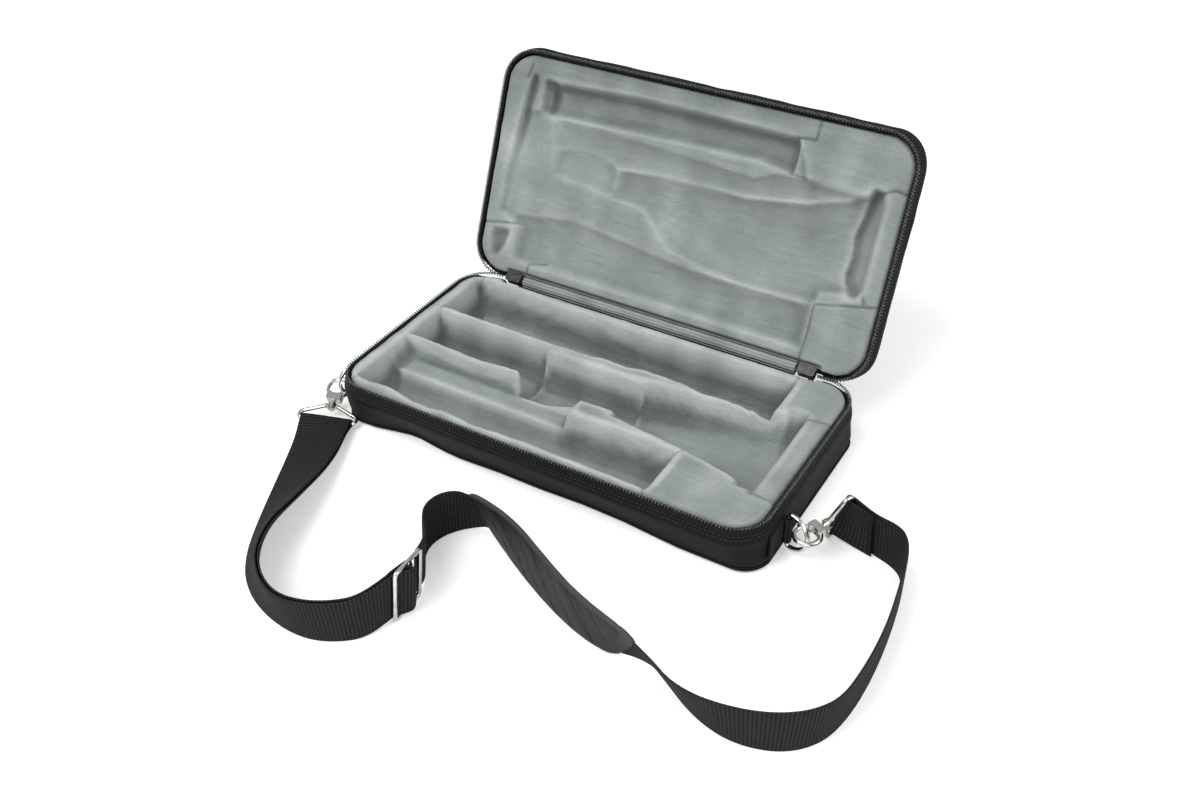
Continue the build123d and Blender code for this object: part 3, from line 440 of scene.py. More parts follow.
def stitches(name: str, middles: Array, along: Array, out: Array, size: float) -> Piece:
    """Row of raised thread stitches as one mesh.

    Formula: each stitch is a spindle, five rings of five points whose radius is a fraction of
    the length, bowed outwards; the array of stitches is the outer sum of middles and the spindle.

    Args:
        name: Name of the piece.
        middles: Middle of each stitch, (n, 3).
        along: Unit direction of each stitch.
        out: Unit outward direction at each stitch.
        size: Length of a stitch.

    Returns:
        The object of all stitches.
    """
    stations = np.array([-0.5, -0.34, 0.0, 0.34, 0.5])
    radii = np.array([0.02, 0.115, 0.14, 0.115, 0.02]) * size
    sides, bow = 5, 0.1 * size
    angle = np.linspace(0, 2 * math.pi, sides, endpoint=False)
    across = np.cross(along, out)
    ring = (
        across[:, None, None] * np.cos(angle)[None, None, :, None]
        + out[:, None, None] * np.sin(angle)[None, None, :, None]
    ) * radii[None, :, None, None]
    spine = middles[:, None] + along[:, None] * (stations * size)[None, :, None]
    spine = spine + out[:, None] * (bow * (1 - 4 * stations**2))[None, :, None]
    grid = spine[:, :, None] + ring
    faces_one = [
        (r * sides + c, r * sides + d, (r + 1) * sides + d, (r + 1) * sides + c)
        for r in range(len(stations) - 1)
        for c, d in ((c, (c + 1) % sides) for c in range(sides))
    ]
    starts = np.arange(len(middles))[:, None, None] * (sides * len(stations))
    faces = (np.array(faces_one) + starts).reshape(-1, 4)
    mesh = bpy.data.meshes.new(name)
    mesh.from_pydata((grid.reshape(-1, 3) * MM).tolist(), [], faces[:, ::-1].tolist())
    return linked(mesh)


# ---------------------------------------------------------------- finishes
class Paint:
    """Node tree of one material, with short calls for the nodes that the finishes share."""

    def __init__(self, name: str) -> None:
        """Starts an empty material with its shader and output.

        Args:
            name: Name of the material.
        """
        self.material = bpy.data.materials.new(name)
        self.material.use_nodes = True
        self.tree = self.material.node_tree
        self.tree.nodes.clear()
        self.shader = self.tree.nodes.new("ShaderNodeBsdfPrincipled")
        output = self.tree.nodes.new("ShaderNodeOutputMaterial")
        self.tree.links.new(self.shader.outputs[0], output.inputs[0])

    def set(self, **values: float | tuple[float, ...]) -> None:
        """Sets sockets of the shader, underscores standing for spaces."""
        for key, value in values.items():
            self.shader.inputs[key.replace("_", " ")].default_value = value

    def link(self, source: Socket, target: str) -> None:
        """Joins a value to one of the shader's sockets."""
        self.tree.links.new(source, self.shader.inputs[target])

    def coordinates(
        self, kind: Coordinates, turn: Triple = (0, 0, 0), stretch: Triple = (1, 1, 1)
    ) -> Socket:
        """Pattern coordinates, turned by angles in degrees and stretched by factors.

        Args:
            kind: What the pattern follows.
            turn: Angles about X, Y and Z.
            stretch: Factors along X, Y and Z.

        Returns:
            The coordinates.
        """
        source = self.tree.nodes.new("ShaderNodeTexCoord").outputs[kind.value]
        mapping = self.tree.nodes.new("ShaderNodeMapping")
        mapping.inputs["Rotation"].default_value = [math.radians(a) for a in turn]
        mapping.inputs["Scale"].default_value = stretch
        self.tree.links.new(source, mapping.inputs["Vector"])
        return mapping.outputs[0]

    def noise(self, vector: Socket, size: float, detail: float = 3.0) -> Socket:
        """Noise whose patches are about size millimetres across.

        Args:
            vector: Coordinates that the noise follows.
            size: Size of a patch.
            detail: Levels of finer noise.

        Returns:
            Value from nought to one.
        """
        node = self.tree.nodes.new("ShaderNodeTexNoise")
        node.inputs["Scale"].default_value = 1000.0 / size
        node.inputs["Detail"].default_value = detail
        self.tree.links.new(vector, node.inputs["Vector"])
        return node.outputs[0]

    def wave(self, vector: Socket, pitch: float, axis: str, bend: float = 0.0) -> Socket:
        """Ribs at a pitch in millimetres, square to one axis.

        Args:
            vector: Coordinates that the ribs follow.
            pitch: Distance between two ribs.
            axis: X or Y.
            bend: How far the ribs waver.

        Returns:
            Value from nought to one.
        """
        node = self.tree.nodes.new("ShaderNodeTexWave")
        node.bands_direction = axis
        node.inputs["Scale"].default_value = 1000.0 / pitch * math.pi / 10
        node.inputs["Distortion"].default_value = bend
        node.inputs["Detail"].default_value = 1.0
        node.inputs["Detail Scale"].default_value = 2.0
        self.tree.links.new(vector, node.inputs["Vector"])
        return node.outputs["Fac"]

    def math(self, operation: str, first: object, second: object) -> Socket:
        """One sum of two values, each a socket or a number.

        Args:
            operation: Kind of sum.
            first: First value.
            second: Second value.

        Returns:
            The result.
        """
        node = self.tree.nodes.new("ShaderNodeMath")
        node.operation = operation
        for index, value in enumerate((first, second)):
            if isinstance(value, (int, float)):
                node.inputs[index].default_value = value
            else:
                self.tree.links.new(value, node.inputs[index])
        return node.outputs[0]

    def mixed(self, first: Socket, share: float, second: Socket, other: float) -> Socket:
        """Sum of two values, each times its own share."""
        near, far = self.math("MULTIPLY", first, share), self.math("MULTIPLY", second, other)
        return self.math("ADD", near, far)

    def tone(self) -> Socket:
        """Shade that a mesh carries at its points."""
        node = self.tree.nodes.new("ShaderNodeAttribute")
        node.attribute_name = "tone"
        return node.outputs["Fac"]

    def ramp(self, value: Socket, stops: Sequence[tuple[float, Triple]]) -> Socket:
        """Colour that follows a value through stops of place and colour.

        Args:
            value: Value that picks the colour.
            stops: Place and colour of each stop.

        Returns:
            The colour.
        """
        node = self.tree.nodes.new("ShaderNodeValToRGB")
        while len(node.color_ramp.elements) < len(stops):
            node.color_ramp.elements.new(0.5)
        for element, (place, colour) in zip(node.color_ramp.elements, stops):
            element.position = place
            element.color = (*colour, 1.0)
        self.tree.links.new(value, node.inputs[0])
        return node.outputs[0]

    def spread(self, value: Socket, low: float, high: float) -> Socket:
        """Value from nought to one moved to between low and high."""
        return self.math("ADD", self.math("MULTIPLY", value, high - low), low)

    def bump(
        self, height: Socket, depth: float, strength: float, under: Socket | None = None
    ) -> Socket:
        """Bump whose full height is depth millimetres.

        Args:
            height: Relief from nought to one.
            depth: Full height of the relief.
            strength: Share of the relief that is felt.
            under: Direction from a coarser bump, if any.

        Returns:
            The surface direction.
        """
        node = self.tree.nodes.new("ShaderNodeBump")
        node.inputs["Distance"].default_value = depth * MM
        node.inputs["Strength"].default_value = strength
        self.tree.links.new(height, node.inputs["Height"])
        if under is not None:
            self.tree.links.new(under, node.inputs["Normal"])
        return node.outputs[0]


@dataclass(frozen=True)
class PlushFinish:
    """Short grey-green pile with brushed patches, painted highlight on crests and painted shade in
    hollows and seams.
    """

    # shade and crest are the ramp's ends; the tone reaches them through painted shade in hollows
    # and seams, painted highlight on crests, and random patches
    shade: Triple = (0.105, 0.122, 0.118)
    pile: Triple = (0.222, 0.250, 0.243)
    crest: Triple = (0.40, 0.43, 0.42)

    def make(self) -> bpy.types.Material:
        """Builds the material.

        Returns:
            The material.
        """
        paint = Paint("plush")
        place = paint.coordinates(Coordinates.OBJECT)
        patches = paint.spread(paint.noise(place, 38, 4), -0.16, 0.16)
        strands = paint.spread(paint.noise(place, 1.6, 4), -0.11, 0.11)
        lines = paint.noise(paint.coordinates(Coordinates.OBJECT, stretch=(0.05, 1, 1)), 1.7, 3)
        strands = paint.math("ADD", strands, paint.spread(lines, -0.1, 0.1))
        brushed = paint.spread(paint.noise(place, 9, 3), -0.07, 0.07)
        level = paint.math("ADD", paint.tone(), paint.math("ADD", patches, brushed))
        level = paint.math("ADD", paint.math("ADD", level, strands), 0.5)
        stops = ((0.08, self.shade), (0.5, self.pile), (0.95, self.crest))
        paint.link(paint.ramp(level, stops), "Base Color")
        drawn = paint.coordinates(Coordinates.OBJECT, stretch=(0.16, 1.0, 1.0))
        nap = paint.math("ADD", paint.noise(place, 1.1, 5), paint.noise(drawn, 1.3, 3))
        coarse = paint.bump(nap, 0.5, 0.6)
        paint.link(paint.bump(paint.noise(place, 0.35, 2), 0.16, 0.5, coarse), "Normal")
        paint.set(Roughness=0.92, Sheen_Weight=0.3, Sheen_Roughness=0.45)
        paint.set(Sheen_Tint=(0.86, 0.9, 0.88, 1.0), Specular_IOR_Level=0.2)
        return paint.material


@dataclass(frozen=True)
class NylonFinish:
    """Black woven nylon: a plain weave with dusty, slightly uneven gloss, its raised threads
    painted paler as painted highlight.
    """

    thread: Triple = (0.006, 0.0062, 0.007)
    dust_and_highlight: Triple = (0.015, 0.015, 0.0162)
    pitch: float = 0.62
    turn: Triple = (0, 0, 0)
    coordinates: Coordinates = Coordinates.UV

    def make(self, name: str = "nylon") -> bpy.types.Material:
        """Builds the material under a name.

        Args:
            name: Name of the material.

        Returns:
            The material.
        """
        paint = Paint(name)
        place = paint.coordinates(self.coordinates, self.turn)
        body = paint.coordinates(Coordinates.OBJECT)
        warp = paint.wave(place, self.pitch, "X", 0.3)
        weft = paint.wave(place, self.pitch, "Y", 0.3)
        weave = paint.math("MULTIPLY", warp, weft)
        wear_and_shading = paint.noise(body, 24, 5)
        stops = ((0.3, self.thread), (0.75, self.dust_and_highlight))
        # The paler colour mixes random wear from the noise with painted highlight on the weave's
        # raised threads
        level = paint.mixed(wear_and_shading, 0.75, weave, 0.25)
        paint.link(paint.ramp(level, stops), "Base Color")
        paint.link(paint.spread(wear_and_shading, 0.52, 0.74), "Roughness")
        slack = paint.bump(paint.noise(body, 14, 2), 0.35, 0.35)
        paint.link(paint.bump(weave, 0.12, 0.8, slack), "Normal")
        paint.set(Sheen_Weight=0.006, Sheen_Roughness=0.5, Specular_IOR_Level=0.1)
        return paint.material


@dataclass(frozen=True)
class WebbingFinish:
    """Ribbed black webbing: cross ribs with a fine lengthwise weave, their raised parts painted
    paler as painted highlight.
    """

    thread: Triple = (0.0045, 0.0045, 0.005)
    # crest: paler colour of the painted highlight on the ribs, mixed with random fuzz
    crest: Triple = (0.030, 0.030, 0.032)
    rib: float = 2.3
    strand: float = 1.5

    def make(self) -> bpy.types.Material:
        """Builds the material, whose first coordinate runs along the webbing.

        Returns:
            The material.
        """
        paint = Paint("webbing")
        place = paint.coordinates(Coordinates.UV)
        body = paint.coordinates(Coordinates.OBJECT)
        ribs = paint.wave(place, self.rib, "X", 0.5)
        strands = paint.wave(place, self.strand, "Y", 0.2)
        weave = paint.mixed(ribs, 0.62, strands, 0.38)
        fuzz = paint.noise(body, 2.5, 4)
        # The weave paints the ribs' raised parts paler, a painted highlight; the fuzz is random
        # tone
        level = paint.mixed(weave, 0.7, fuzz, 0.4)
        paint.link(paint.ramp(level, ((0.3, self.thread), (0.9, self.crest))), "Base Color")
        paint.link(paint.spread(fuzz, 0.62, 0.82), "Roughness")
        paint.link(paint.bump(weave, 0.55, 1.0), "Normal")
        paint.set(Sheen_Weight=0.006, Sheen_Roughness=0.4, Specular_IOR_Level=0.1)
        return paint.material


@dataclass(frozen=True)
class PadFinish:
    """Dark grippy pad: fine lengthwise ribs on a dull rubbery face, paler towards its two edges."""

    face: Triple = (0.0065, 0.0065, 0.007)
    wear_and_shading: Triple = (0.044, 0.046, 0.052)

    def make(self) -> bpy.types.Material:
        """Builds the material.

        Returns:
            The material.
        """
        paint = Paint("pad")
        place = paint.coordinates(Coordinates.UV)
        body = paint.coordinates(Coordinates.OBJECT)
        grain = paint.noise(body, 3.5, 4)
        level = paint.math("ADD", paint.tone(), paint.spread(grain, -0.15, 0.2))
        paint.link(paint.ramp(level, ((0.1, self.face), (0.95, self.wear_and_shading))), "Base Color")
        paint.link(paint.spread(grain, 0.42, 0.6), "Roughness")
        ribs = paint.wave(place, 1.5, "Y", 0.1)
        fine = paint.bump(paint.noise(body, 0.5, 2), 0.06, 0.5)
        paint.link(paint.bump(ribs, 0.16, 0.6, fine), "Normal")
        paint.set(Specular_IOR_Level=0.14)
        return paint.material


@dataclass(frozen=True)
class NickelFinish:
    """Bright nickel plate with fine handling scratches and a warm cast."""

    metal: Triple = (0.80, 0.775, 0.735)
    dull: Triple = (0.60, 0.57, 0.53)

    def make(self) -> bpy.types.Material:
        """Builds the material.

        Returns:
            The material.
        """
        paint = Paint("nickel")
        body = paint.coordinates(Coordinates.OBJECT)
        cloud = paint.noise(body, 7, 4)
        scuff = paint.noise(body, 0.8, 5)
        paint.link(paint.ramp(cloud, ((0.3, self.dull), (0.62, self.metal))), "Base Color")
        paint.link(paint.spread(paint.math("MULTIPLY", cloud, scuff), 0.09, 0.42), "Roughness")
        paint.link(paint.bump(scuff, 0.03, 0.25), "Normal")
        paint.set(Metallic=1.0)
        return paint.material


@dataclass(frozen=True)
class DarkFinish:
    """Dark moulded, spun or painted surface: coil filament, thread and enamelled sliders."""

    name: str
    colour: Triple
    edge: Triple
    gloss: tuple[float, float]
    grain: float = 2.0
    metallic: float = 0.0

    def make(self) -> bpy.types.Material:
        """Builds the material.

        Returns:
            The material.
        """
        paint = Paint(self.name)
        body = paint.coordinates(Coordinates.OBJECT)
        grain = paint.noise(body, self.grain, 4)
        paint.link(paint.ramp(grain, ((0.42, self.colour), (0.74, self.edge))), "Base Color")
        paint.link(paint.spread(grain, *self.gloss), "Roughness")
        paint.link(paint.bump(grain, 0.04, 0.4), "Normal")
        paint.set(Metallic=self.metallic)
        return paint.material


class Palette:
    """Every material of the case, made once."""

    def __init__(self) -> None:
        """Makes the materials."""
        self.plush = PlushFinish().make()
        self.nylon = NylonFinish().make()
        level = Coordinates.OBJECT
        self.flat_nylon = NylonFinish(coordinates=level).make("nylon_panel")
        lid_turn = (Hinge.open_angle, 0.0, 0.0)
        self.lid_nylon = NylonFinish(coordinates=level, turn=lid_turn).make("nylon_lid_panel")
        # The tape's paler colour likewise holds random wear and painted highlight on the weave
        tape_thread, tape_dust_and_highlight = (0.009, 0.009, 0.010), (0.014, 0.014, 0.015)
        self.tape = NylonFinish(pitch=0.9, thread=tape_thread, dust_and_highlight=tape_dust_and_highlight).make("zip_tape")
        self.webbing = WebbingFinish().make()
        self.pad = PadFinish().make()
        self.nickel = NickelFinish().make()
        coil_black, coil_edge = (0.030, 0.031, 0.034), (0.12, 0.124, 0.134)
        self.coil = DarkFinish("zip_coil", coil_black, coil_edge, (0.34, 0.5)).make()
        enamel_black, enamel_edge = (0.016, 0.016, 0.017), (0.07, 0.07, 0.07)
        self.enamel = DarkFinish("enamel", enamel_black, enamel_edge, (0.24, 0.5), 3.0, 0.3).make()
        spun_black, spun_edge = (0.015, 0.015, 0.0165), (0.036, 0.036, 0.038)
        self.thread = DarkFinish("thread", spun_black, spun_edge, (0.5, 0.7), 1.0).make()


def dress(
    piece: Piece, material: bpy.types.Material, body: str, slot: str, *replaced: str
) -> None:
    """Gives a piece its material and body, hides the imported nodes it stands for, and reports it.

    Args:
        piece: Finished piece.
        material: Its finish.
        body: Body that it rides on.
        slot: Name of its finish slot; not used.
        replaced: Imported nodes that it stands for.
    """
    piece.data.materials.clear()
    piece.data.materials.append(material)
    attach(piece, body)
    if replaced:
        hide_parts(*replaced)
    LOG.info("%s rides on %s, %d faces", piece.name, body, len(piece.data.polygons))


# ---------------------------------------------------------------- covers
Bulge = tuple[tuple[float, float, float, float], ...]


@dataclass
class CoverHalf:
    """Walls, seams, zip and outer panel of one half.

    A point of a wall is given by its depth below the rim and its inset from the cover's outer
    face; the outline at each depth is a rounded rectangle.
    """

    half: Half
    palette: Palette
    bulge: Bulge
    panels: tuple[str, str, str]
    depth: float = 40.0
    lining_half: tuple[float, float] = (160.0, 83.5)
    corner: float = 22.0
    least_corner: float = 3.0
    long_steps: int = 150
    short_steps: int = 66
    corner_steps: int = 14
    levels: int = 240
    ease: int = 8
    seam: float = 7.15
    wall_foot: float = 4.9
    panel_inset: float = 1.9
    panel_edge: float = 1.6
    ridge_half: float = 95.0
    thread_inset: float = 0.28
    coil_step: float = 2.9
    coil_drop: float = 0.62
    tuck_start: float = 6.0
    tuck_reach: float = 32.0
    slack_seed: int = 3
    tucks: Pairs = (
        (-160, 0), (-146, 0), (-134, 0.6), (-120, 3.6), (-108, 6.0), (-98, 6.2), (-86, 4.4),
        (-74, 3.0), (-61, 2.2), (-29, 3.6), (5, 3.4), (36, 4.6), (68, 3.8), (90, 1.8), (110, 0.2),
        (160, 0),
    )  # fmt: skip

    @property
    def body(self) -> str:
        """Name of the body that this half rides on."""
        return self.half.value

    def offsets(self, depths: Array) -> tuple[Array, ...]:
        """Outward steps at the ends, front and back.

        Formula: straight lines between the listed depths, averaged over a short span so that
        the wall bends softly.

        Args:
            depths: Depths below the rim.

        Returns:
            Steps at the ends, front and back for every depth.
        """
        table = np.array(self.bulge)
        fine = np.linspace(-3.0, self.depth + 3.0, self.levels)
        kernel = np.ones(2 * self.ease + 1) / (2 * self.ease + 1)
        found = []
        for column in table.T[1:]:
            values = np.pad(np.interp(fine, table[:, 0], column), self.ease, mode="edge")
            found.append(np.interp(depths, fine, np.convolve(values, kernel, "valid")))
        return tuple(found)

    def outline(self, ends: Array, front: Array, back: Array, inset: Array) -> tuple[Array, Array]:
        """Rounded rectangles, one per level, starting at the middle of the back.

        Formula: four arcs about the corner centres joined by evenly divided straight sides.

        Args:
            ends: Step of both ends out from the lining's, per level.
            front: Step of the front.
            back: Step of the back.
            inset: Step in from all of them.

        Returns:
            Points (n, levels, 2) and outward directions (n, 2).
        """
        half_x = self.lining_half[0] + ends - inset
        low, high = -self.lining_half[1] - front + inset, self.lining_half[1] + back - inset
        least = np.minimum(np.minimum(ends, front), back)
        radius = np.maximum(self.corner + least - inset, self.least_corner)
        quarter = np.linspace(0, math.pi / 2, self.corner_steps)
        parts, normals = [], []
        corners = ((-1, 1, 90), (-1, -1, 180), (1, -1, 270), (1, 1, 0))
        for sign_x, sign_y, start in corners:
            angle = math.radians(start) + quarter
            middle_y = high - radius if sign_y > 0 else low + radius
            centre = np.stack([sign_x * (half_x - radius), middle_y], -1)
            ray = np.stack([np.cos(angle), np.sin(angle)], -1)
            parts.append(centre[None] + radius[None, :, None] * ray[:, None])
            normals.append(ray)
        points, directions = [], []
        counts = (self.short_steps, self.long_steps, self.short_steps, self.long_steps)
        for index, part in enumerate(parts):
            following = parts[(index + 1) % 4]
            share = np.linspace(0, 1, counts[index] + 1)[1:-1, None, None]
            side = part[-1:] * (1 - share) + following[:1] * share
            points += [part, side]
            directions += [normals[index], np.repeat(normals[index][-1:], len(side), 0)]
        ring, out = np.concatenate(points), np.concatenate(directions)
        middle = len(ring) - (counts[3] - 1) // 2
        return np.roll(ring, -middle, 0), np.roll(out, -middle, 0)

    def front_tuck(self, x: Array, depth: Array) -> Array:
        """How far the foot of the base's front wall tucks under, between its two corners.

        Args:
            x: Place along the case of each point.
            depth: Depth of each point below the rim.

        Returns:
            Step towards the back at every point.
        """
        if self.half is Half.LID:
            return np.zeros(np.broadcast(x, depth).shape)
        return ranged(x, self.tucks) * smooth((depth - self.tuck_start) / self.tuck_reach)

    def slack(self, length: Array, depth: Array) -> Array:
        """Slack ripples of the wall's cloth, which fade towards both seams.

        Args:
            length: Place of each point along the ring.
            depth: Depth of each point below the rim.

        Returns:
            Outward step at every point.
        """
        share = window(depth, 11.0, self.depth - 9.0, 6.0)
        wide = ripple(length, depth * 1.6, 52.0, self.slack_seed) * 0.3
        return (wide + ripple(length, depth * 0.7, 19.0, self.slack_seed + 8) * 0.1) * share

    def place(
        self, depth: Array, inset: Array, at: Array | None = None, slack: bool = False
    ) -> tuple[Array, Array, Array]:
        """Points of the wall in the rest pose.

        Args:
            depth: Depth of each column of the grid below the rim.
            inset: Inset of each column.
            at: Depth at which the outline is taken, if not the same.
            slack: Whether the cloth's slack ripples are added.

        Returns:
            Points (n, columns, 3), outward directions (n, 3) and lengths along the ring (n + 1).
        """
        level = depth if at is None else at
        ring, out = self.outline(*self.offsets(level), inset)
        length = run_length(looped(ring[:, 0]))
        x, y = ring[..., 0].copy(), ring[..., 1].copy()
        y += self.front_tuck(x, depth[None]) * np.clip(-out[:, 1:2], 0, 1)
        if slack:
            step = self.slack(length[:-1, None], depth[None])
            x += out[:, :1] * step
            y += out[:, 1:2] * step
        z = self.half.rim + self.half.away * np.broadcast_to(depth[None], x.shape)
        z = self.half.off_hinge(y, z, Hinge.limit(x, y, Hinge.reach(x)))
        normals = np.stack([*out.T, np.zeros(len(out))], -1)
        points = self.half.rested(np.stack([x, y, z], -1))
        return points, self.half.rested_direction(normals), length

    def band(
        self,
        name: str,
        profile: Pairs,
        material: bpy.types.Material,
        replaced: Sequence[str],
        at: float | None = None,
        slack: bool = False,
    ) -> None:
        """Closed section carried right round the half.

        Formula: each point of the section has a depth and an inset, and the ring of outlines at
        those depths is its sweep.

        Args:
            name: Name of the piece after the half's own.
            profile: Depth and inset of each point of the section.
            material: Finish.
            replaced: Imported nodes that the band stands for.
            at: Depth at which every point takes its outline, if not its own.
            slack: Whether the cloth's slack ripples are added.
        """
        section = np.array(profile)
        levels = None if at is None else np.full(len(section), at)
        grid, _, length = self.place(*section.T, levels, slack)
        uv = (length * MM, run_length(looped(section)) * MM)
        flip = self.half is Half.LID
        piece = grid_object(f"{self.body}_{name}", grid, True, True, flip=flip, uv=uv)
        dress(piece, material, self.body, "cover", *replaced)

    def wall(self) -> None:
        """Side wall with its slack ripples, rolled in at both seams."""
        high, low = self.seam, self.depth - self.wall_foot
        outer = np.linspace(high + 0.5, low - 0.5, 34)
        top, foot = outer - high - 0.6, outer - low + 0.6
        dip = 0.55 * np.exp(-(top**2)) + 0.4 * np.exp(-(foot**2))
        profile = [(high + 0.05, 0.9), *zip(outer, dip), (low - 0.05, 0.9), (low - 0.05, 1.4)]
        profile += [(d, 1.45) for d in np.linspace(low - 0.6, high + 0.4, 8)] + [(high + 0.05, 1.4)]
        self.band("wall", profile, self.palette.nylon, self.panels[:2], slack=True)

    def tape(self) -> None:
        """Zip tape: a flat lip inside the coil, folded down the wall to the seam."""
        profile = (
            (1.75, 3.55), (1.7, 1.2), (1.95, 0.7), (2.6, 0.5), (4.6, 0.35), (6.4, 0.5), (6.95, 0.8),
            (6.95, 1.5), (6.0, 1.4), (3.2, 1.4), (2.5, 1.7), (2.4, 3.55),
        )  # fmt: skip
        self.band("tape", profile, self.palette.tape, [f"{self.body}_zip_tape"])

    def piping(self, radius: float = 1.5, drop: float = 3.15, inset: float = 0.75) -> None:
        """Piping round the outer edge: a round cord, its centre drop short of the full depth.

        Args:
            radius: Radius of the cord.
            drop: From its centre to the full depth.
            inset: From its centre to the cover's outer face.
        """
        centre = self.depth - drop
        turn = np.linspace(0, 2 * math.pi, 12, endpoint=False)
        profile = [(centre - radius * math.cos(a), inset + radius * math.sin(a)) for a in turn]
        self.band("edge_piping", profile, self.palette.nylon, [f"{self.body}_piping"], at=centre)

    def panel(self) -> None:
        """Outer panel, slightly full in its middle, with a rolled edge under the piping.

        Formula: rings of the outline at the panel's depth, each drawn towards the middle line by
        a share, with a height that falls as the square of the share.
        """
        level = self.depth - self.panel_inset
        ring = self.flat_ring(np.array([level]), np.array([self.panel_edge]))
        shares = np.concatenate([[0.0, 0.004, 0.012, 0.03], np.linspace(0.06, 1.0, 22)])
        spine = np.clip(ring[:, 0], -self.ridge_half, self.ridge_half)
        target = np.stack([spine, np.zeros(len(ring))], -1)
        plan = ring[:, None] * (1 - shares)[None, :, None] + target[:, None] * shares[None, :, None]
        full = self.panel_inset * smooth(shares / 0.03)
        slack = np.abs(ripple(plan[..., 0], plan[..., 1], 60.0, 21) * 0.25 * smooth(shares / 0.2))
        if self.half is Half.BASE:
            z, material = np.broadcast_to(2.0 - full, slack.shape) + slack, self.palette.flat_nylon
        else:
            height = self.half.rim + level + (full - 0.1)
            z, material = np.broadcast_to(height, slack.shape) - slack, self.palette.lid_nylon
        grid = self.half.rested(np.concatenate([plan, z[..., None]], -1))
        flip = self.half is Half.LID
        piece = grid_object(f"{self.body}_outer_panel", grid, True, False, flip=flip)
        dress(piece, material, self.body, "cover", self.panels[2])

    def flat_ring(self, depth: Array, inset: Array) -> Array:
        """One outline in plan, with the front's tuck.

        Args:
            depth: Depth of the outline, as an array of one.
            inset: Its inset, likewise.

        Returns:
            Points in plan, shape (n, 2).
        """
        ring, out = self.outline(*self.offsets(depth), inset)
        plan = ring[:, 0].copy()
        plan[:, 1] += self.front_tuck(plan[:, 0], depth[0]) * np.clip(-out[:, 1], 0, 1)
        return plan

    def seam_stitches(
        self, depth: float, label: str, pitch: float = 3.0, size: float = 2.0
    ) -> None:
        """Row of stitches along the wall at one depth, left out where the wall stands still.

        Args:
            depth: Depth of the row below the rim.
            label: What the row is called in the piece's name.
            pitch: Distance between two stitches.
            size: Length of a stitch.
        """
        points, normals, length = self.place(np.array([depth]), np.array([self.thread_inset]))
        places = np.arange(0, length[-1] - pitch, pitch)
        path = looped(points[:, 0])
        middle = sampled(places, length, path)
        out = unit(sampled(places, length, looped(normals)))
        step = sampled(places + 0.6, length, path) - middle
        reach = np.linalg.norm(step, axis=1)
        good = reach > 0.3
        along = step[good] / reach[good, None]
        piece = stitches(f"{self.body}_{label}_stitches", middle[good], along, out[good], size)
        dress(piece, self.palette.thread, self.body, "cover")

    def coil(self, pitch: float = 2.3, radius: float = 0.9, wire: float = 0.46) -> None:
        """Zip coil: a filament wound round a line that runs round the rim to both sliders.

        Formula: the line is the outline at a fixed step from the lining; the filament turns about
        it once per pitch, and a small round section is carried along the filament.

        Args:
            pitch: Distance between two turns.
            radius: Radius of the turns.
            wire: Radius of the filament.
        """
        step = np.array([self.coil_step])
        ring, out = self.outline(step, step, step, np.zeros(1))
        length = run_length(looped(ring[:, 0]))
        start = Hinge.slider + Hinge.notch_half + 0.5
        places = np.arange(start, length[-1] - start, pitch / 7)
        centre = sampled(places, length, looped(ring[:, 0]))
        side = unit(sampled(places, length, looped(out)))
        phase = 2 * math.pi * (places - start) / pitch
        middle = self.half.rim + self.half.away * self.coil_drop
        height = middle + radius * 0.8 * np.sin(phase)
        plan = centre + side * (radius * np.cos(phase))[:, None]
        path = self.half.rested(np.concatenate([plan, height[:, None]], -1))
        up = self.half.rested_direction(np.concatenate([side, np.zeros((len(side), 1))], -1))
        grid = capped(swept(path, round_profile(wire, 5), False, up))
        piece = grid_object(f"{self.body}_coil", grid, False, True)
        dress(piece, self.palette.coil, self.body, "zip_coil", f"{self.body}_zip_coil")

    def build(self) -> None:
        """Makes every piece of this half's cover."""
        self.wall()
        self.tape()
        self.piping()
        self.panel()
        self.seam_stitches(8.6, "rim")
        self.seam_stitches(6.1, "tape")
        self.seam_stitches(self.depth - 6.4, "edge")
        self.coil()


# ---------------------------------------------------------------- linings
@dataclass(frozen=True)
class Trough:
    """Open hollow between two edges that vary along X."""

    ends: tuple[float, float]
    lower: Pairs
    upper: Pairs
    floor: float = 5.0
    level: bool = False
    wall: float = 1.9
    lip: float = 3.2

    def height(self, x: Array, y: Array, top: float) -> Array:
        """Height of the surface.

        Formula: below the lip the floor is a circle through both edges, or level; the wall climbs
        by a smooth step of the distance inside the edge, and outside it the lip is a quarter
        round.

        Args:
            x: Place along the case of each point.
            y: Place across the case of each point.
            top: Height of the surface round the hollow.

        Returns:
            Height at every point.
        """
        low, high = ranged(x, self.lower), ranged(x, self.upper)
        radius = np.maximum((high - low) / 2, 1.0)
        off = y - (high + low) / 2
        inside = np.minimum(radius - np.abs(off), np.minimum(x - self.ends[0], self.ends[1] - x))
        bowl = self.floor + radius - np.sqrt(np.maximum(radius**2 - off**2, 0.0))
        bottom = np.minimum(self.floor if self.level else bowl, top - self.lip)
        climb = 1 - smooth(inside / self.wall)
        within = bottom + (top - self.lip - bottom) * climb
        return np.where(inside > 0, within, top - quarter_round(inside + self.lip, self.lip))


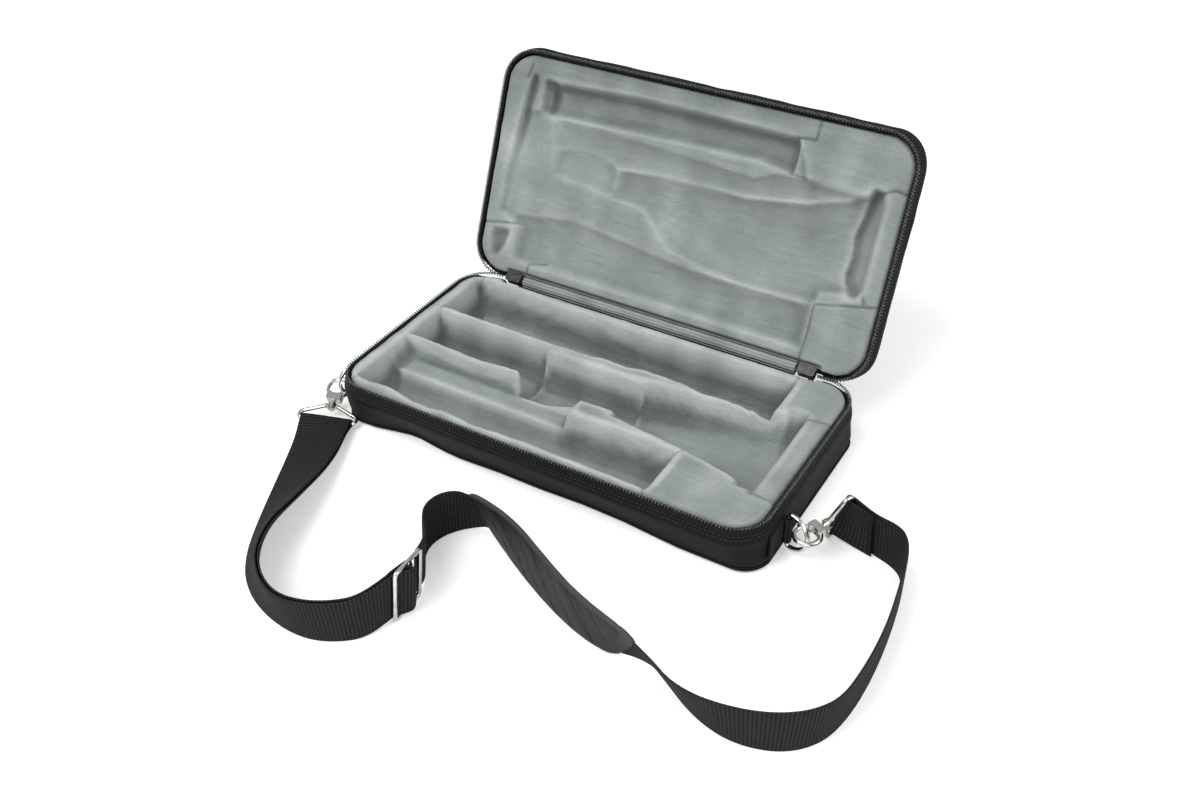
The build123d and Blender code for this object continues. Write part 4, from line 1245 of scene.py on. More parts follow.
@dataclass
class Lining:
    """Plush lining of one half as one pile-covered relief over the lining's outline."""

    half: Half
    palette: Palette
    replaced: tuple[str, ...]
    half_x: float = 160.0
    half_y: float = 83.4
    corner: float = 22.0
    step: float = 1.15
    edge_round: float = 3.4
    skirt: float = 9.0
    groove: float = 0.85
    groove_depth: float = 1.3
    hinge_room_half: float = 132.0

    def edge_distance(self, x: Array, y: Array) -> tuple[Array, Array, Array]:
        """Distance outside the rounded outline and its direction in plan.

        Args:
            x: Place along the case of each point.
            y: Place across the case of each point.

        Returns:
            Distance, negative inside, and the two parts of the direction.
        """
        qx = np.abs(x) - (self.half_x - self.corner)
        qy = np.abs(y) - (self.half_y - self.corner)
        outer = np.hypot(np.maximum(qx, 0), np.maximum(qy, 0))
        distance = outer + np.minimum(np.maximum(qx, qy), 0) - self.corner
        scale = np.maximum(outer, 1e-6)
        corner = (qx > 0) & (qy > 0)
        nx = np.where(corner, np.maximum(qx, 0) / scale, (qx >= qy) * 1.0) * np.sign(x)
        ny = np.where(corner, np.maximum(qy, 0) / scale, (qy > qx) * 1.0) * np.sign(y)
        return distance, nx, ny

    def relief(self, x: Array, y: Array) -> Array:
        """Height of the plush with the lid shut, before its edge is rounded."""
        raise NotImplementedError

    def seams(self) -> Sequence[Pairs]:
        """Lines where two plush covers meet, in the half's own plan."""
        raise NotImplementedError

    def wear_and_shading(self, x: Array, y: Array) -> Array:
        """Painted shade that the half's pile has besides that of its relief; none by default."""
        return np.zeros(x.shape)

    def build(self, name: str) -> None:
        """Makes the relief.

        Formula: a level grid is lifted by the relief; its border is rounded, points just past the
        outline are drawn back onto it and hung down as a skirt, and faces further out are left
        off. Sewn lines are narrow grooves, and the shade follows the relief's curvature.

        Args:
            name: Name of the piece.
        """
        reach_x, reach_y = self.half_x + 2 * self.step, self.half_y + 2 * self.step
        xs = np.linspace(-reach_x, reach_x, int(2 * reach_x / self.step))
        ys = np.linspace(-reach_y, reach_y, int(2 * reach_y / (self.step * 0.92)))
        x, y = np.meshgrid(xs, ys, indexing="ij")
        sign = self.half.away
        rise = self.relief(x, y)
        groove = np.zeros(x.shape)
        for seam in self.seams():
            groove = np.maximum(groove, np.exp(-((line_distance(seam, x, y) / self.groove) ** 2)))
        rise = rise + sign * (self.groove_depth * groove)
        curve = sign * (rise - blur(rise, 6))
        rise = rise + 0.22 * ripple(x, y, 21.0, 31) * sign + 0.1 * ripple(x, y, 7.0, 32) * sign
        outside, nx, ny = self.edge_distance(x, y)
        rise = rise + sign * quarter_round(outside + self.edge_round, self.edge_round)
        rise = np.where(outside > 0, self.half.rim + sign * self.skirt, rise)
        pull = np.where(outside > 0, outside, 0.0)
        px, py = x - nx * pull, y - ny * pull
        clear = Hinge.limit(px, py, Hinge.room) * (np.abs(px) < self.hinge_room_half)
        points = self.half.rested(np.stack([px, py, self.half.off_hinge(py, rise, clear)], -1))
        # Painted shade darkens concave hollows and seam grooves, and painted highlight lightens
        # convex crests
        painted_relief_shading = np.clip(-curve * 0.12, -0.36, 0.34) - 0.26 * groove
        # The ripple is random tone, and the last term adds the half's own painted shade
        tone = painted_relief_shading + 0.06 * ripple(x, y, 46.0, 35) + self.wear_and_shading(x, y)
        allowed = outside < self.step * 1.7
        keep = allowed[:-1, :-1] & allowed[1:, :-1] & allowed[1:, 1:] & allowed[:-1, 1:]
        piece = grid_object(name, points, flip=self.half is Half.LID, keep=keep, tone=tone)
        dress(piece, self.palette.plush, self.half.value, "plush", *self.replaced)


@dataclass
class BaseLining(Lining):
    """Wells for the two joints, mouthpiece, barrel and bell."""

    rail: Pairs = (
        (-150, -70), (-147, -74), (-137, -75), (-120, -73), (-98, -78), (-83, -79), (-73, -76),
        (-45, -79), (-13, -76.5), (15, -77), (42, -77), (84, -77.5),
    )  # fmt: skip
    divider: Pairs = ((-150, -36), (-8, -36), (4, -37), (23, -37.5), (60, -35), (84, -37))
    back_edge: Pairs = (
        (-150, 29), (-110, 28.5), (-50, 28), (-21, 29), (-11, 31), (8, 30), (20, 33), (50, 33),
        (69, 29.5), (94, 31), (120, 33),
    )  # fmt: skip
    back_rail: Pairs = ((-150, 76), (-115, 74), (-72, 71.5), (3, 73), (72, 73), (120, 72))

    def troughs(self) -> Sequence[Trough]:
        """Every hollow of the base.

        Returns:
            The hollows.
        """
        relief_low = ((-150, -40.0), (0, -40.0))
        relief_high = ((-150, -15), (-116, -14), (-86, -13.5), (-45, -15.5), (-20, -17.5), (0, -19))
        bell = ((30, 22), (60, 25.5), (85, 29), (108, 33), (124, 37), (131, 39.5), (142, 40.5))
        return (
            Trough((-150, 84), self.rail, self.divider),
            Trough((-150, 0), relief_low, relief_high, 22.0, True, 2.4),
            Trough((-150, 120), self.back_edge, self.back_rail),
            Trough((-150, -51), ((-150, -12), (-51, -12)), ((-150, 23), (-51, 23))),
            Trough((-53, 31), ((-53, -19), (31, -19)), ((-53, 17), (31, 17))),
            Trough((29, 142), [(a, -2 - r) for a, r in bell], [(a, -2 + r) for a, r in bell]),
            Trough((130.3, 142), ((130, -46), (142, -46)), ((130, 42), (142, 42))),
        )

    def relief(self, x: Array, y: Array) -> Array:
        """Lowest of the hollows, under a crowned end cushion beside the bell.

        Args:
            x: Place along the case of each point.
            y: Place across the case of each point.

        Returns:
            Height at every point.
        """
        top = self.half.rim
        height = np.full(x.shape, top)
        for trough in self.troughs():
            height = np.minimum(height, trough.height(x, y, top))
        inside_roll = window(y, -48.0, 36.0, 4.0)
        crown = 3.2 * np.square(np.clip((x - 151.0) / 9.0, -1, 1)) * inside_roll
        height = np.where(x > 142.0, height - crown, height)
        return blur(height, 1)

    def seams(self) -> Sequence[Pairs]:
        """Joints between the blocks of the base.

        Returns:
            Points of each joint, in plan.
        """
        return (
            ((-150, -84), (-150, -72)),
            ((-150, -14), (-150, -12)),
            ((-150, 22), (-151, 31)),
            ((-150, 71), (-147, 84)),
            ((85, -84), (82, -76), (84, -70)),
            ((84, -38), (88, -33)),
            ((119, 72), (122, 84)),
            ((120, 38), (121, 45)),
            ((141, -48), (150, -50), (162, -51)),
            ((141, 38), (152, 38), (162, 40)),
            ((142, -46), (141.5, 0), (142, 40)),
        )


@dataclass
class LidLining(Lining):
    """Relief of the lid, worked out with v as the distance from its hinge edge."""

    hinge_edge: float = 83.5
    left_edge: Pairs = (
        (0, -131), (38, -131), (46, -146), (79, -145), (124, -142), (154, -143), (167, -143),
    )  # fmt: skip
    right_edge: Pairs = (
        (0, 118), (22, 116), (54, 118), (60, 149), (125, 148), (131, 90), (167, 90),
    )  # fmt: skip
    front_edge: Pairs = ((-143, 154), (0, 154), (78, 153), (90, 128), (150, 126))
    slot_outline: Pairs = (
        (137, 132), (146, 131), (149, 122), (148.5, 96), (148.5, 62), (143, 54), (136, 55),
        (129, 61), (126.5, 68), (128, 82), (126, 96), (130, 110), (133, 124),
    )  # fmt: skip
    pocket_outline: Pairs = (
        (-155, 27), (-152, 12), (-146, 7), (-140, 11), (-135, 20), (-132, 36), (-140, 37),
        (-152, 35),
    )  # fmt: skip
    bell_upper: Pairs = (
        (-64, 92), (-57, 98), (-30, 102), (-1, 104), (48, 103), (92, 109), (122, 118), (137, 127),
    )  # fmt: skip
    bell_lower: Pairs = (
        (-64, 84), (-57, 78), (-37, 78), (-27, 76), (-17, 66), (-3, 53), (29, 46), (64, 43),
        (109, 45), (137, 50),
    )  # fmt: skip

    def wear_and_shading(self, x: Array, y: Array) -> Array:
        """Painted shade: darker pile towards the front of the lid, less so at its right end."""
        front = smooth((-12.0 - y) / 46.0)
        return -0.2 * front * (1.0 - 0.6 * smooth((x - 50.0) / 70.0))

    def hollow(
        self, x: Array, v: Array, ends: Triple, lower: Pairs, upper: Pairs, deep: float
    ) -> Array:
        """Depth of a rounded hollow.

        Formula: deep times the root of one minus the square of the place between both edges,
        fading over a length at both ends.

        Args:
            x: Place along the lid.
            v: Distance from the hinge edge.
            ends: First and last x, and the length over which the hollow fades there.
            lower: Edge nearer the hinge.
            upper: Edge nearer the front.
            deep: Full depth.

        Returns:
            Depth at every point.
        """
        first, last, soft = ends
        low, high = ranged(x, lower), ranged(x, upper)
        place = (v - (low + high) / 2) / np.maximum((high - low) / 2, 1.0)
        bow = np.sqrt(np.maximum(1.0 - place**2, 0.0))
        return deep * bow * smooth((x - first) / soft) * smooth((last - x) / soft)

    def relief(self, x: Array, y: Array) -> Array:
        """Rim's height, and above it the depth of the hollows pressed into the lid's pad.

        Args:
            x: Place along the case of each point.
            y: Place across the case of each point.

        Returns:
            Height at every point, with the lid shut.
        """
        v = self.hinge_edge - y
        left, right = ranged(v, self.left_edge), ranged(v, self.right_edge)
        front = ranged(x, self.front_edge)
        inside = np.minimum(np.minimum(x - left, right - x), np.minimum(v - 9.0, front - v))
        depth = 4.6 * smooth(inside / 7.0)
        trough_low = ((-124, 126), (-13, 130), (52, 131), (85, 126))
        trough_high = ((-130, 149), (-48, 154), (34, 153), (89, 152))
        depth = depth + self.hollow(x, v, (-123, 79, 3.0), trough_low, trough_high, 8.5)
        bell = self.hollow(x, v, (-62, 142, 16.0), self.bell_lower, self.bell_upper, 9.5)
        bell = bell * (0.55 + 0.45 * smooth((x + 30) / 90))
        mouth_low = ((-125, 86), (-100, 84), (-60, 80))
        mouth_high = ((-125, 100), (-87, 111), (-68, 110), (-57, 100))
        mouth = self.hollow(x, v, (-112, -52, 8.0), mouth_low, mouth_high, 3.4)
        keys_low = ((-120, 104), (-57, 101), (48, 104), (130, 118))
        keys_high = ((-120, 127), (50, 118), (66, 124), (86, 126), (130, 128))
        keys = self.hollow(x, v, (-118, 104, 14.0), keys_low, keys_high, 3.2)
        joint_low = ((-140, 13), (-100, 15), (110, 14))
        joint_high = ((-140, 46), (-84, 53), (-54, 50), (20, 42), (110, 42))
        joint = self.hollow(x, v, (-138, 114, 10.0), joint_low, joint_high, 4.0)
        depth = depth + np.maximum.reduce([bell, mouth, keys, joint])
        line = ranged(v, ((46, -147), (79, -146), (100, -144), (124, -141.5), (152, -138)))
        strip = np.exp(-(((x - line - 1.5) / 2.8) ** 2)) * window(v, 48.0, 150.0, 5.0)
        depth = depth + 7.0 * strip * (0.55 + 0.45 * smooth((v - 60) / 70))
        pocket = polygon_depth(self.pocket_outline, x, v)
        depth = np.maximum(depth, 7.0 * smooth(pocket / 8.0))
        bump = window(x, -139.0, -128.0, 3.0) * window(v, 128.0, 150.0, 3.0)
        notch = window(x, -126.0, -120.0, 2.0) * window(v, 129.0, 149.0, 3.0)
        corner = smooth((x - 78) / 4) * smooth((v - 127) / 4) * smooth((154 - v) / 3)
        depth = depth - 2.6 * bump + 3.4 * notch * smooth((x + 129) / 4) + 1.2 * corner
        slot = polygon_depth(self.slot_outline, x, v)
        ramp = np.clip((149.5 - x) / 19.0, 0.0, 1.0)
        depth = np.maximum(depth, 1.0 + (1.5 + 17.0 * ramp) * smooth(slot / 4.6))
        rim_step = smooth((v - 160.0) / 3.0) * 0.9
        return self.half.rim + blur(depth + rim_step, 1)

    def seams(self) -> Sequence[Pairs]:
        """Joints between the covers of the lid's pads, turned from v into y.

        Returns:
            Points of each joint, in plan.
        """
        lines = (
            ((-160, 35), (-131, 40)),
            ((90, 170), (90, 153), (77, 152)),
            ((77, 152), (76, 127), (89, 126)),
            ((114, -4), (116, 22), (116, 45)),
            ((116, 45), (158, 54), (164, 54)),
            ((141, 128), (152, 133), (164, 131)),
            ((148, 58), (150, 54)),
            ((-114, -4), (-114, 12), (-100, 15)),
            ((-143, 150), (-140, 160)),
        )
        return [[(a, self.hinge_edge - b) for a, b in line] for line in lines]


# ---------------------------------------------------------------- hinge cloth
@dataclass
class HingeCloth:
    """Ribbed plush gusset and outer strip between the two halves."""

    palette: Palette
    half_length: float = 114.3
    columns: int = 150
    turns: int = 49
    roll_radius: float = 2.95
    roll_limit: float = 3.38
    roll_turn: float = 352.65
    sleeve_outer: float = 4.6
    sleeve_inner: float = 4.05
    sleeve_turns: tuple[float, float] = (-138.0, 67.0)
    strip_outer: float = 5.75
    strip_inner: float = 5.05
    strip_turns: tuple[float, float] = (-97.0, -34.0)
    strip_width: float = 14.0

    def tube(self, radius: Callable[[Array, Array], Array], turns: tuple[float, float]) -> Array:
        """Surface round the hinge line.

        Formula: for each x and each angle from +Y towards +Z, the point at the given radius.

        Args:
            radius: Radius as a function of x and angle.
            turns: First and last angle in degrees.

        Returns:
            Points, shape (columns, turns, 3).
        """
        x = np.linspace(-self.half_length, self.half_length, self.columns)
        xs, turn = np.meshgrid(x, np.radians(np.linspace(*turns, self.turns)), indexing="ij")
        size = radius(xs, turn)
        return np.stack([xs, Hinge.y + size * np.cos(turn), Hinge.z + size * np.sin(turn)], -1)

    def sheet(
        self, outer: Callable[[Array, Array], Array], inner: float, turns: tuple[float, float]
    ) -> Array:
        """Loop of an outer surface and a round inner one, joined along both long edges."""
        inside = self.tube(lambda x, turn: inner + 0 * turn, turns)
        return np.concatenate([self.tube(outer, turns), inside[:, ::-1]], 1)

    def ribbed(self, x: Array, turn: Array) -> Array:
        """Radius of the roll: soft ribs along it, and slight slack."""
        ribs = 0.32 * np.cos(turn * 7.0) + 0.1 * ripple(x, turn * 4.0, 26.0, 41)
        return np.minimum(self.roll_radius + ribs, self.roll_limit)

    def build(self) -> None:
        """Makes roll, sleeve and strip."""
        grid = self.tube(self.ribbed, (0.0, self.roll_turn))
        radius = np.hypot(grid[..., 1] - Hinge.y, grid[..., 2] - Hinge.z)
        # Painted shade in the hollows between the ribs and painted highlight on their tops, the
        # tone following the roll's radius
        tone = np.clip((radius - 3.0) * 0.5, -0.3, 0.2)
        tone = np.concatenate([tone[:1], tone, tone[-1:]])
        roll = grid_object("gusset_roll", capped(grid), False, True, tone=tone)
        dress(roll, self.palette.plush, "base", "plush", "hinge_plush_roll")

        def slack_sleeve(x: Array, turn: Array) -> Array:
            """Outer radius of the sleeve, with slight slack."""
            return self.sleeve_outer + 0.06 * ripple(x, turn * 4.0, 30.0, 42)

        def slack_strip(x: Array, turn: Array) -> Array:
            """Outer radius of the strip, with slight slack."""
            return self.strip_outer + 0.04 * ripple(x, turn * 5, 24.0, 43)

        sheet = self.sheet(slack_sleeve, self.sleeve_inner, self.sleeve_turns)
        shade = np.full(sheet.shape[:2], -0.12)
        sleeve = grid_object("gusset_sleeve", sheet, False, True, tone=shade)
        dress(sleeve, self.palette.plush, "lid", "plush", "hinge_lid_sleeve")
        sheet = self.sheet(slack_strip, self.strip_inner, self.strip_turns)
        length = np.linspace(-self.half_length, self.half_length, self.columns) * MM
        across = np.linspace(0, self.strip_width, sheet.shape[1] + 1) * MM
        strip = grid_object("hinge_strip", sheet, False, True, uv=(length, across))
        dress(strip, self.palette.tape, "base", "cover", "hinge_outer_strip")


# ---------------------------------------------------------------- strap
@dataclass(frozen=True)
class Frame3:
    """Place with three unit directions."""

    origin: Triple
    x: Triple
    y: Triple
    z: Triple

    def at(self, along: Array, across: Array, out: Array) -> Array:
        """Points from their three coordinates in this frame.

        Args:
            along: First coordinate of each point.
            across: Second coordinate.
            out: Third coordinate.

        Returns:
            The points.
        """
        axes = [np.array(axis) for axis in (self.x, self.y, self.z)]
        values = [np.asarray(value)[..., None] for value in (along, across, out)]
        parts = [value * axis for value, axis in zip(values, axes)]
        return np.array(self.origin) + parts[0] + parts[1] + parts[2]


Stretch = tuple[Array, Array, Array]


@dataclass
class Strap:
    """Webbing, buckle and shoulder pad, laid as they are round the case."""

    palette: Palette
    width: float = 38.0
    thick: float = 1.6
    wire: float = 1.5
    slack: float = 0.3
    back_step: float = 2.3
    channel: float = 19.0
    slant: float = 24.0
    left_bar: Frame3 = Frame3(
        (-166.179, -95.436, 6.048),
        (0.34579, -0.93263, -0.10309),
        (0.93495, 0.35176, -0.04628),
        (0.07943, -0.08038, 0.99359),
    )
    right_bar: Frame3 = Frame3(
        (194.708, -20.976, 22.33),
        (-0.96625, -0.01694, 0.25705),
        (0.25685, -0.14006, 0.95625),
        (0.0198, 0.99, 0.13969),
    )
    buckle: Frame3 = Frame3(
        (-4.186, -207.907, 21.956),
        (-0.03997, 0.9992, 0.0),
        (0.12177, 0.00487, 0.99255),
        (0.99175, 0.03967, -0.12187),
    )
    buckle_size: Triple = (43.4, 28.0, 2.4)
    buckle_bar: float = 3.0
    buckle_corner: float = 2.6
    pad_size: tuple[float, float] = (46.0, 5.0)
    pad_room: float = 0.6
    pad_rise: float = 4.2
    floor_gap: float = 0.3
    buckle_reach: float = 26.0
    leans: Triple = (85.0, -7.0, 15.0)
    crest_half: float = 2.5
    tail_gap: float = 0.7
    to_buckle: Sequence[Triple] = (
        (-177, -116, 80), (-165, -139, 76), (-153, -164, 66), (-142, -187, 54), (-133, -205, 45),
        (-124, -221, 35), (-113, -235, 27), (-102, -244, 19), (-89, -251, 8), (-72, -256, -4),
        (-55, -258, -11), (-39, -256, -10), (-25, -249, -9), (-14, -239, -8),
    )  # fmt: skip
    to_pad: Sequence[Triple] = (
        (-13, -182, -6), (-22, -172, -4), (-28, -160, -2), (-27, -147, -2), (-21, -136, -6),
        (-13, -128, -16),
    )  # fmt: skip
    in_pad: Sequence[Triple] = (
        (-2, -126, -22), (11, -134, -14), (36, -148, -4), (66, -163, -5), (92, -173, -9),
        (112, -177, -13), (123, -176, -19), (135, -174, -25), (148, -176, -28),
    )  # fmt: skip
    to_ring: Sequence[Triple] = (
        (161, -182, -24), (175, -190, -23), (189, -195, -18), (203, -197, -12), (217, -195, -9),
        (230, -190, -7), (241, -181, -7), (249, -168, -7), (253, -148, -4), (254, -125, -3),
        (253, -100, -2), (250, -72, 0), (246, -48, 0), (241, -33, 3), (232, -26, 5), (218, -22, 8),
    )  # fmt: skip

    def stretch(self, points: Sequence[Triple], doubled: bool) -> Stretch:
        """Middle, width and outward directions of a stretch that stands on its lower edge.

        Formula: the heading joins a point's neighbours; the width leans from upright by the
        point's angle; the lower edge is lifted just enough to keep every layer off the floor.

        Args:
            points: Each point's x, y and lean in degrees.
            doubled: Whether a second layer lies under this one.

        Returns:
            Middles, width directions and outward directions.
        """
        table = np.array(points, float)
        heading = np.zeros((len(table), 3))
        heading[1:-1, :2] = table[2:, :2] - table[:-2, :2]
        heading = unit(heading[1:-1])
        lean = np.radians(table[1:-1, 2])
        left = np.stack([-heading[:, 1], heading[:, 0], np.zeros(len(heading))], -1)
        across = left * np.sin(lean)[:, None] + np.array([0, 0, 1.0]) * np.cos(lean)[:, None]
        tilt = np.abs(np.sin(lean))
        under = np.where(doubled & (lean > 0), self.back_step * tilt, 0.0)
        lift = self.floor_gap + self.thick / 2 * tilt + under
        edge = np.stack([table[1:-1, 0], table[1:-1, 1], lift], -1)
        return edge + across * (self.width / 2), across, np.cross(heading, across)

    def round_bar(self, place: Frame3, first: float, last: float) -> Stretch:
        """Stations of the webbing round a bar, by the angle of their outward direction.

        Args:
            place: Frame of the bar, whose y runs along it.
            first: First angle in degrees.
            last: Last angle.

        Returns:
            Middles, width directions and outward directions.
        """
        radius = self.wire + self.slack + self.thick / 2
        count = int(abs(last - first) // 30)
        angle = np.radians(np.linspace(first, last, count + 1))
        middle = place.at(radius * np.cos(angle), 0 * angle, radius * np.sin(angle))
        out = place.at(np.cos(angle), 0 * angle, np.sin(angle)) - np.array(place.origin)
        return middle, np.broadcast_to(np.array(place.y), middle.shape), out

    def local(self, place: Frame3, spots: Pairs, turn: float = 90.0) -> Stretch:
        """Stations at (along, out) spots of a frame, facing a turn from its first direction.

        Args:
            place: Frame that the spots are in.
            spots: Places along x and z of the frame.
            turn: Angle of the outward direction in degrees.

        Returns:
            Middles, width directions and outward directions.
        """
        table = np.array(spots, float)
        middle = place.at(table[:, 0], 0 * table[:, 0], table[:, 1])
        angle = math.radians(turn)
        out = np.array(place.x) * math.cos(angle) + np.array(place.z) * math.sin(angle)
        across, out = (np.broadcast_to(values, middle.shape) for values in (place.y, out))
        return middle, across, out

    def route(self) -> dict[str, Stretch]:
        """Every stretch of the webbing by name, in the order in which it is threaded.

        Returns:
            Stations of each stretch.
        """
        half = self.width / 2
        edge, start, end = (
            np.array(place.origin) - np.array(place.y) * half
            for place in (self.buckle, self.left_bar, self.right_bar)
        )
        reach = np.array(self.buckle.x) * self.buckle_reach
        left_lean, buckle_lean, right_lean = self.leans
        ahead = [(*start[:2], left_lean), *self.to_buckle, (*(edge - reach)[:2], buckle_lean)]
        behind = [(*(edge + reach)[:2], buckle_lean), *self.to_pad, *self.in_pad, *self.to_ring]
        behind.append((*end[:2], right_lean))
        to_buckle, after = self.stretch(ahead, True), self.stretch(behind, False)
        first, last = len(self.to_pad), len(self.to_pad) + len(self.in_pad)
        after[0][first:last, 2] += self.pad_rise
        loop = self.wire + self.slack + self.thick / 2
        under = -(self.buckle_size[2] / 2 + self.slack + self.thick / 2)
        over = loop + self.thick + self.slack
        bar, outer = self.buckle_size[1] / 2 - 3.5, self.buckle_size[1] / 2 + 1
        crest = self.crest_half
        through = [(-outer, under), (-bar, under), (-crest, over)]
        through += [(crest, over), (bar, under), (outer, under)]
        tail = under - self.back_step
        tail_spots = ((-4, -loop - self.tail_gap), (-bar, tail), (-outer, tail))
        back = tuple(part[::-1] for part in to_buckle)
        returned = (back[0] - back[2] * self.back_step, back[1], -back[2])
        fold = (after[0][-1:] - after[2][-1:] * self.back_step, after[1][-1:], -after[2][-1:])
        return {
            "sewn": self.round_bar(self.buckle, 180, -90),
            "tail": self.local(self.buckle, tail_spots, -90),
            "returned": returned,
            "left_wrap": self.round_bar(self.left_bar, -90, -270),
            "to_buckle": to_buckle,
            "through": self.local(self.buckle, through),
            "after": after,
            "right_wrap": self.round_bar(self.right_bar, 90, -90),
            "fold": fold,
        }

    def spline(self, control: Array, name: str, resolution: int = 10) -> Array:
        """Points of the smooth line whose control points are given.

        Args:
            control: Control points, shape (n, 3).
            name: Name of the passing curve.
            resolution: Points of the line for each control point.

        Returns:
            Points of the line, in millimetres.
        """
        curve = bpy.data.curves.new(name, "CURVE")
        curve.dimensions = "3D"
        curve.resolution_u = resolution
        line = curve.splines.new("NURBS")
        line.points.add(len(control) - 1)
        weighted = np.concatenate([control * MM, np.ones((len(control), 1))], 1)
        line.points.foreach_set("co", weighted.astype(np.float32).ravel())
        line.order_u = 3
        line.use_endpoint_u = True
        carrier = bpy.data.objects.new(name, curve)
        bpy.context.scene.collection.objects.link(carrier)
        bpy.context.view_layer.update()
        graph = bpy.context.evaluated_depsgraph_get()
        mesh = bpy.data.meshes.new_from_object(carrier.evaluated_get(graph))
        points = np.zeros(len(mesh.vertices) * 3, np.float32)
        mesh.vertices.foreach_get("co", points)
        bpy.data.objects.remove(carrier)
        bpy.data.curves.remove(curve)
        bpy.data.meshes.remove(mesh)
        return points.reshape(-1, 3).astype(float) / MM

    def lines(self, stretches: Sequence[Stretch], name: str) -> tuple[Array, Array, Array]:
        """Smooth middle line with its width and outward directions.

        Args:
            stretches: Stretches in the order of the webbing.
            name: Name of the passing curves.

        Returns:
            Points, width directions and outward directions.
        """
        middle = np.concatenate([part[0] for part in stretches])
        across = np.concatenate([part[1] for part in stretches])
        centre = self.spline(middle, f"{name}_middle")
        edge = self.spline(middle + across * (self.width / 2), f"{name}_edge")
        side, tangent = unit(edge - centre), np.gradient(centre, axis=0)
        tangent /= np.maximum(np.linalg.norm(tangent, axis=1, keepdims=True), 1e-9)
        return centre, side, unit(np.cross(tangent, side))

    def webbing(self, route: dict[str, Stretch]) -> None:
        """Webbing as one band, carried along the smooth line through its route's points.

        Args:
            route: Stretches of the webbing by name.
        """
        centre, side, out = self.lines(list(route.values()), "strap")
        profile = flat_profile(self.width, self.thick, 28, 7.0)
        grid = carried(profile, centre, side, out)
        length = run_length(centre)
        grid = capped(grid)
        length = np.concatenate([[0.0], length, length[-1:]])
        uv = (length * MM, looped(profile[:, 0]) * MM)
        piece = grid_object("strap_band", grid, False, True, uv=uv)
        dress(piece, self.palette.webbing, "base", "webbing", "strap_webbing")

    def pad(self, route: dict[str, Stretch]) -> None:
        """Shoulder pad: a thick sleeve on the webbing with slanting channels across its face.

        Formula: an outer flattened section and an inner slot are carried along the pad's line and
        joined at both ends; the outer one is thinned along slanting lines and towards its ends.

        Args:
            route: Stretches of the webbing by name.
        """
        first, last = len(self.to_pad), len(self.to_pad) + len(self.in_pad)
        part = tuple(values[first:last] for values in route["after"])
        centre, side, out = self.lines([part], "pad")
        length = run_length(centre)
        wide, points = self.pad_size[0], 56
        outer = flat_profile(*self.pad_size, points, 4.0)
        inner = flat_profile(self.width + self.pad_room, self.thick + self.pad_room, points, 7.0)
        total = length[-1]
        end = np.minimum(length, total - length)
        taper = 0.62 + 0.38 * np.sqrt(np.clip(end / 9.0, 0, 1))
        slant = length[:, None] + outer[None, :, 0] * 0.85
        channel = np.abs((slant % self.channel) - self.channel / 2)
        inside = window(length, 10.0, total - 14.0, 3.0)[:, None]
        groove = np.exp(-((channel / 0.9) ** 2)) * inside
        patch = smooth((np.sin(2 * math.pi * slant / (2 * self.channel)) - 0.1) / 0.15) * inside
        face = np.abs(outer[None, :, 1]) > 1.4
        shape_x = outer[None, :, 0] * (0.9 + 0.1 * np.sqrt(np.clip(end / 7.0, 0, 1)))[:, None]
        shape_y = outer[None, :, 1] * taper[:, None] * (1 - 0.3 * groove * face)

        def slanted(x: Array, y: Array) -> Array:
            """Section carried along the pad's line, its far end cut on the slant."""
            place = length[:, None] * (1 - self.slant * (0.5 - x / wide) / total)
            line, across, rise = (sampled(place, length, values) for values in (centre, side, out))
            return line + x[..., None] * across + y[..., None] * rise

        skin = slanted(shape_x, shape_y)
        slot = slanted(*(np.broadcast_to(column, skin.shape[:2]) for column in inner.T))
        edge = smooth((np.abs(outer[:, 0]) - 20.0) / 2.4)[None]
        shade = 0.2 + edge * 0.75 + 0.22 * groove - 0.18 * patch * (1 - edge)
        tone = np.concatenate([shade, np.zeros(slot.shape[:2])])
        along = np.concatenate([length, length[::-1], length[:1]])
        uv = (along * MM, looped(outer[:, 0]) * MM)
        grid = np.concatenate([skin, slot[::-1]])
        piece = grid_object("shoulder_pad_cover", grid, True, True, uv=uv, tone=tone)
        dress(piece, self.palette.pad, "base", "pad", "shoulder_pad")

    def slide(self) -> None:
        """Slide buckle: a flat bar bent round a rounded rectangle, with its middle bar.

        Formula: the frame's line is four quarter rounds joined by straight sides, and a flattened
        section is carried round it.
        """
        width, length, thick = self.buckle_size
        corner, up = self.buckle_corner, np.array(self.buckle.z)
        half_x, half_y = length / 2 - self.buckle_bar / 2, width / 2 - self.buckle_bar / 2
        line = []
        for sign_x, sign_y, start in ((1, 1, 0), (-1, 1, 90), (-1, -1, 180), (1, -1, 270)):
            angle = np.linspace(0, math.pi / 2, 9) + math.radians(start)
            x = sign_x * (half_x - corner) + corner * np.cos(angle)
            line.append(np.stack([x, sign_y * (half_y - corner) + corner * np.sin(angle)], -1))
        x, y = np.concatenate(line).T
        section = flat_profile(self.buckle_bar, thick, 16, 3.2)
        grid = swept(self.buckle.at(x, y, 0 * x), section, True, up)
        frame = grid_object("strap_buckle_frame", grid, True, True)
        run = np.linspace(-half_y, half_y, 12)
        middle = self.buckle.at(0 * run, run, 0 * run)
        rod = capped(swept(middle, round_profile(self.wire, 14), False, up))
        centre_bar = grid_object("strap_buckle_bar", rod, False, True)
        dress(frame, self.palette.nickel, "base", "nickel", "strap_buckle")
        dress(centre_bar, self.palette.nickel, "base", "nickel")

    def build(self) -> None:
        """Makes buckle, pad and webbing."""
        route = self.route()
        self.slide()
        self.pad(route)
        self.webbing(route)


